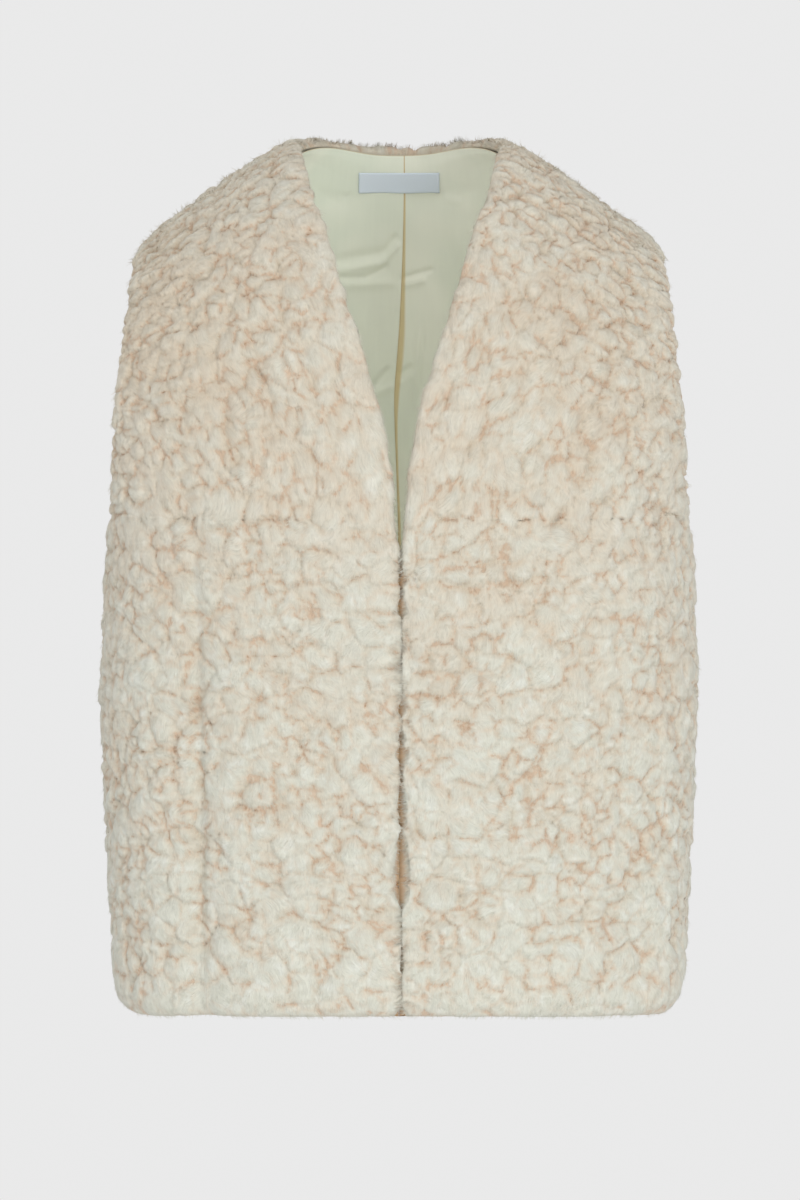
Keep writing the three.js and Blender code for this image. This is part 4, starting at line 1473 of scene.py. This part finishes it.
def make_label_material():
    """Woven satin tape: fine crosswise ribs with a cool, pale sheen."""
    material, tree, shader = new_material("label_satin")
    cloth = stored(tree, "cloth", "Vector")
    ribs = add(tree, "ShaderNodeTexWave", wave_type="BANDS", bands_direction="Y")
    connect(tree, cloth, ribs.inputs["Vector"])
    set_values(ribs, Scale=1.6, Distortion=0.6, Detail=2.0)
    speck = noise_node(tree, cloth, (3.0, 3.0, 3.0), detail=2.0)
    shade = remap(tree, speck, 0.3, 0.7, 0.96, 1.03, smooth=False)
    connect(tree, multiplied(tree, LABEL_BLUE, shade), shader.inputs["Base Color"])
    height = plus(tree, ribs.outputs["Fac"], speck)
    bump(tree, shader, height, 0.08, 0.6)
    connect(tree, remap(tree, speck, 0.3, 0.7, 0.38, 0.5, smooth=False), shader.inputs["Roughness"])
    set_values(shader, Anisotropic=0.4, Sheen_Weight=0.1)
    return material


def dress(piece, material, slot_name, *nodes):
    """Gives a piece its finish, its place in the frame and the model nodes that it stands for."""
    piece.data.materials.clear()
    piece.data.materials.append(material)
    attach(piece, "root")
    if nodes:
        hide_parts(*nodes)


PILE_MATERIAL = make_pile_material()
HAIR_MATERIAL = make_hair_material()
SATIN_MATERIAL = make_satin_material()
for panel, piece in pile_pieces.items():
    dress(piece, PILE_MATERIAL, "pile_cloth", f"pile_{panel}")
for panel, piece in hair_pieces.items():
    dress(piece, HAIR_MATERIAL, "pile_cloth")
for panel, piece in lining_pieces.items():
    dress(piece, SATIN_MATERIAL, "lining_cloth", f"lining_{panel}")
dress(label_piece, make_label_material(), "label_cloth", "neck_label")
print("finishes:", ", ".join(sorted(material.name for material in bpy.data.materials)))

# %% [markdown]
# The area of the flat cloth that each pile panel was cut from is worked out and printed. A front is cut
# from a length a little over the vest's, and its V edge and armhole take away some of the rectangle.


def flat_area(panel):
    """Area of the flat cloth in square metres, from the lengths of the form's rows."""
    side = side_of(panel)
    halves = 2 if panel == "back" else 1
    above_neckline = 0.0
    if panel == "back":
        share = np.linspace(0, 1, FORM_SHARES)
        above_neckline = 2 * float(((FULL_UP - back_top(share)) * FORM[side]["length"][-1]).mean())
    return (halves * float(FORM[side]["length"].mean()) * FULL_UP - above_neckline) * MM * MM


for panel, piece in pile_pieces.items():
    print(panel, "flat area", round(flat_area(panel), 3))

# %% [markdown]
# The vest hangs in a pale studio: even white air all round it, a round pale floor below it, and large
# soft lights that keep the pile's shading gentle. The camera sees the air a little brighter than the
# light it gives, so that a pale background doesn't wash the pale cloth out.

# %% Studio
FLOOR_Z = -0.76
FLOOR_RADIUS = 0.3
FLOOR_THICK = 0.02
FLOOR_BEVEL = 0.004
FLOOR_SIDES = 96
FLOOR_LEVEL = 1e-6  # an edge with less rise than this is level
WORLD_LIGHT = 0.70
WORLD_SEEN = 0.82

# Name, place, aim, size in metres, power in watts
LIGHTS = [
    ("key", (0.2, -2.4, 1.5), (0, 0, -0.35), 1.5, 13.0),
    ("fill", (-1.8, -2.4, -0.5), (0, 0, -0.45), 2.0, 8.0),
    ("low", (0.9, -2.2, -1.1), (0, 0, -0.6), 1.4, 18.0),
]


def make_floor():
    """A thin round floor with a softened rim."""
    disc = bmesh.new()
    bmesh.ops.create_cone(disc, cap_ends=True, segments=FLOOR_SIDES, radius1=FLOOR_RADIUS,
                          radius2=FLOOR_RADIUS, depth=FLOOR_THICK)
    bmesh.ops.translate(disc, verts=disc.verts, vec=(0, 0, FLOOR_Z - FLOOR_THICK / 2))
    rims = [edge for edge in disc.edges if abs(edge.verts[0].co.z - edge.verts[1].co.z) < FLOOR_LEVEL]
    bmesh.ops.bevel(disc, geom=rims, offset=FLOOR_BEVEL, segments=3, profile=0.5, material=-1,
                    affect="EDGES")
    return new_piece("studio_floor", disc)


def make_floor_material():
    """Pale paper with the faintest mottle."""
    material, tree, shader = new_material("studio_paper")
    place = add(tree, "ShaderNodeTexCoord").outputs["Object"]
    mottle = noise_node(tree, place, (9.0, 9.0, 9.0), detail=4.0)
    shade = remap(tree, mottle, 0.3, 0.7, 0.985, 1.01, smooth=False)
    connect(tree, multiplied(tree, STUDIO, shade), shader.inputs["Base Color"])
    set_values(shader, Roughness=0.9, Specular_IOR_Level=0.1)
    return material


floor = make_floor()
floor.data.materials.append(make_floor_material())

for name, place, aim, size, power in LIGHTS:
    data = bpy.data.lights.new(f"{name}_light", "AREA")
    data.shape = "DISK"
    data.size = size
    data.energy = power
    light = bpy.data.objects.new(f"{name}_light", data)
    bpy.context.scene.collection.objects.link(light)
    light.location = place
    light.rotation_euler = (Vector(aim) - Vector(place)).to_track_quat("-Z", "Y").to_euler()

world = bpy.data.worlds.new("studio_air")
world.use_nodes = True
air = next(node for node in world.node_tree.nodes if node.type == "BACKGROUND")
set_values(air, Color=(1.0, 1.0, 1.0, 1.0))
seen = add(world.node_tree, "ShaderNodeLightPath").outputs["Is Camera Ray"]
strength = remap(world.node_tree, seen, 0.0, 1.0, WORLD_LIGHT, WORLD_SEEN, smooth=False)
connect(world.node_tree, strength, air.inputs["Strength"])
bpy.context.scene.world = world
bpy.context.scene.view_settings.view_transform = "Standard"
print("lights:", ", ".join(row[0] for row in LIGHTS))
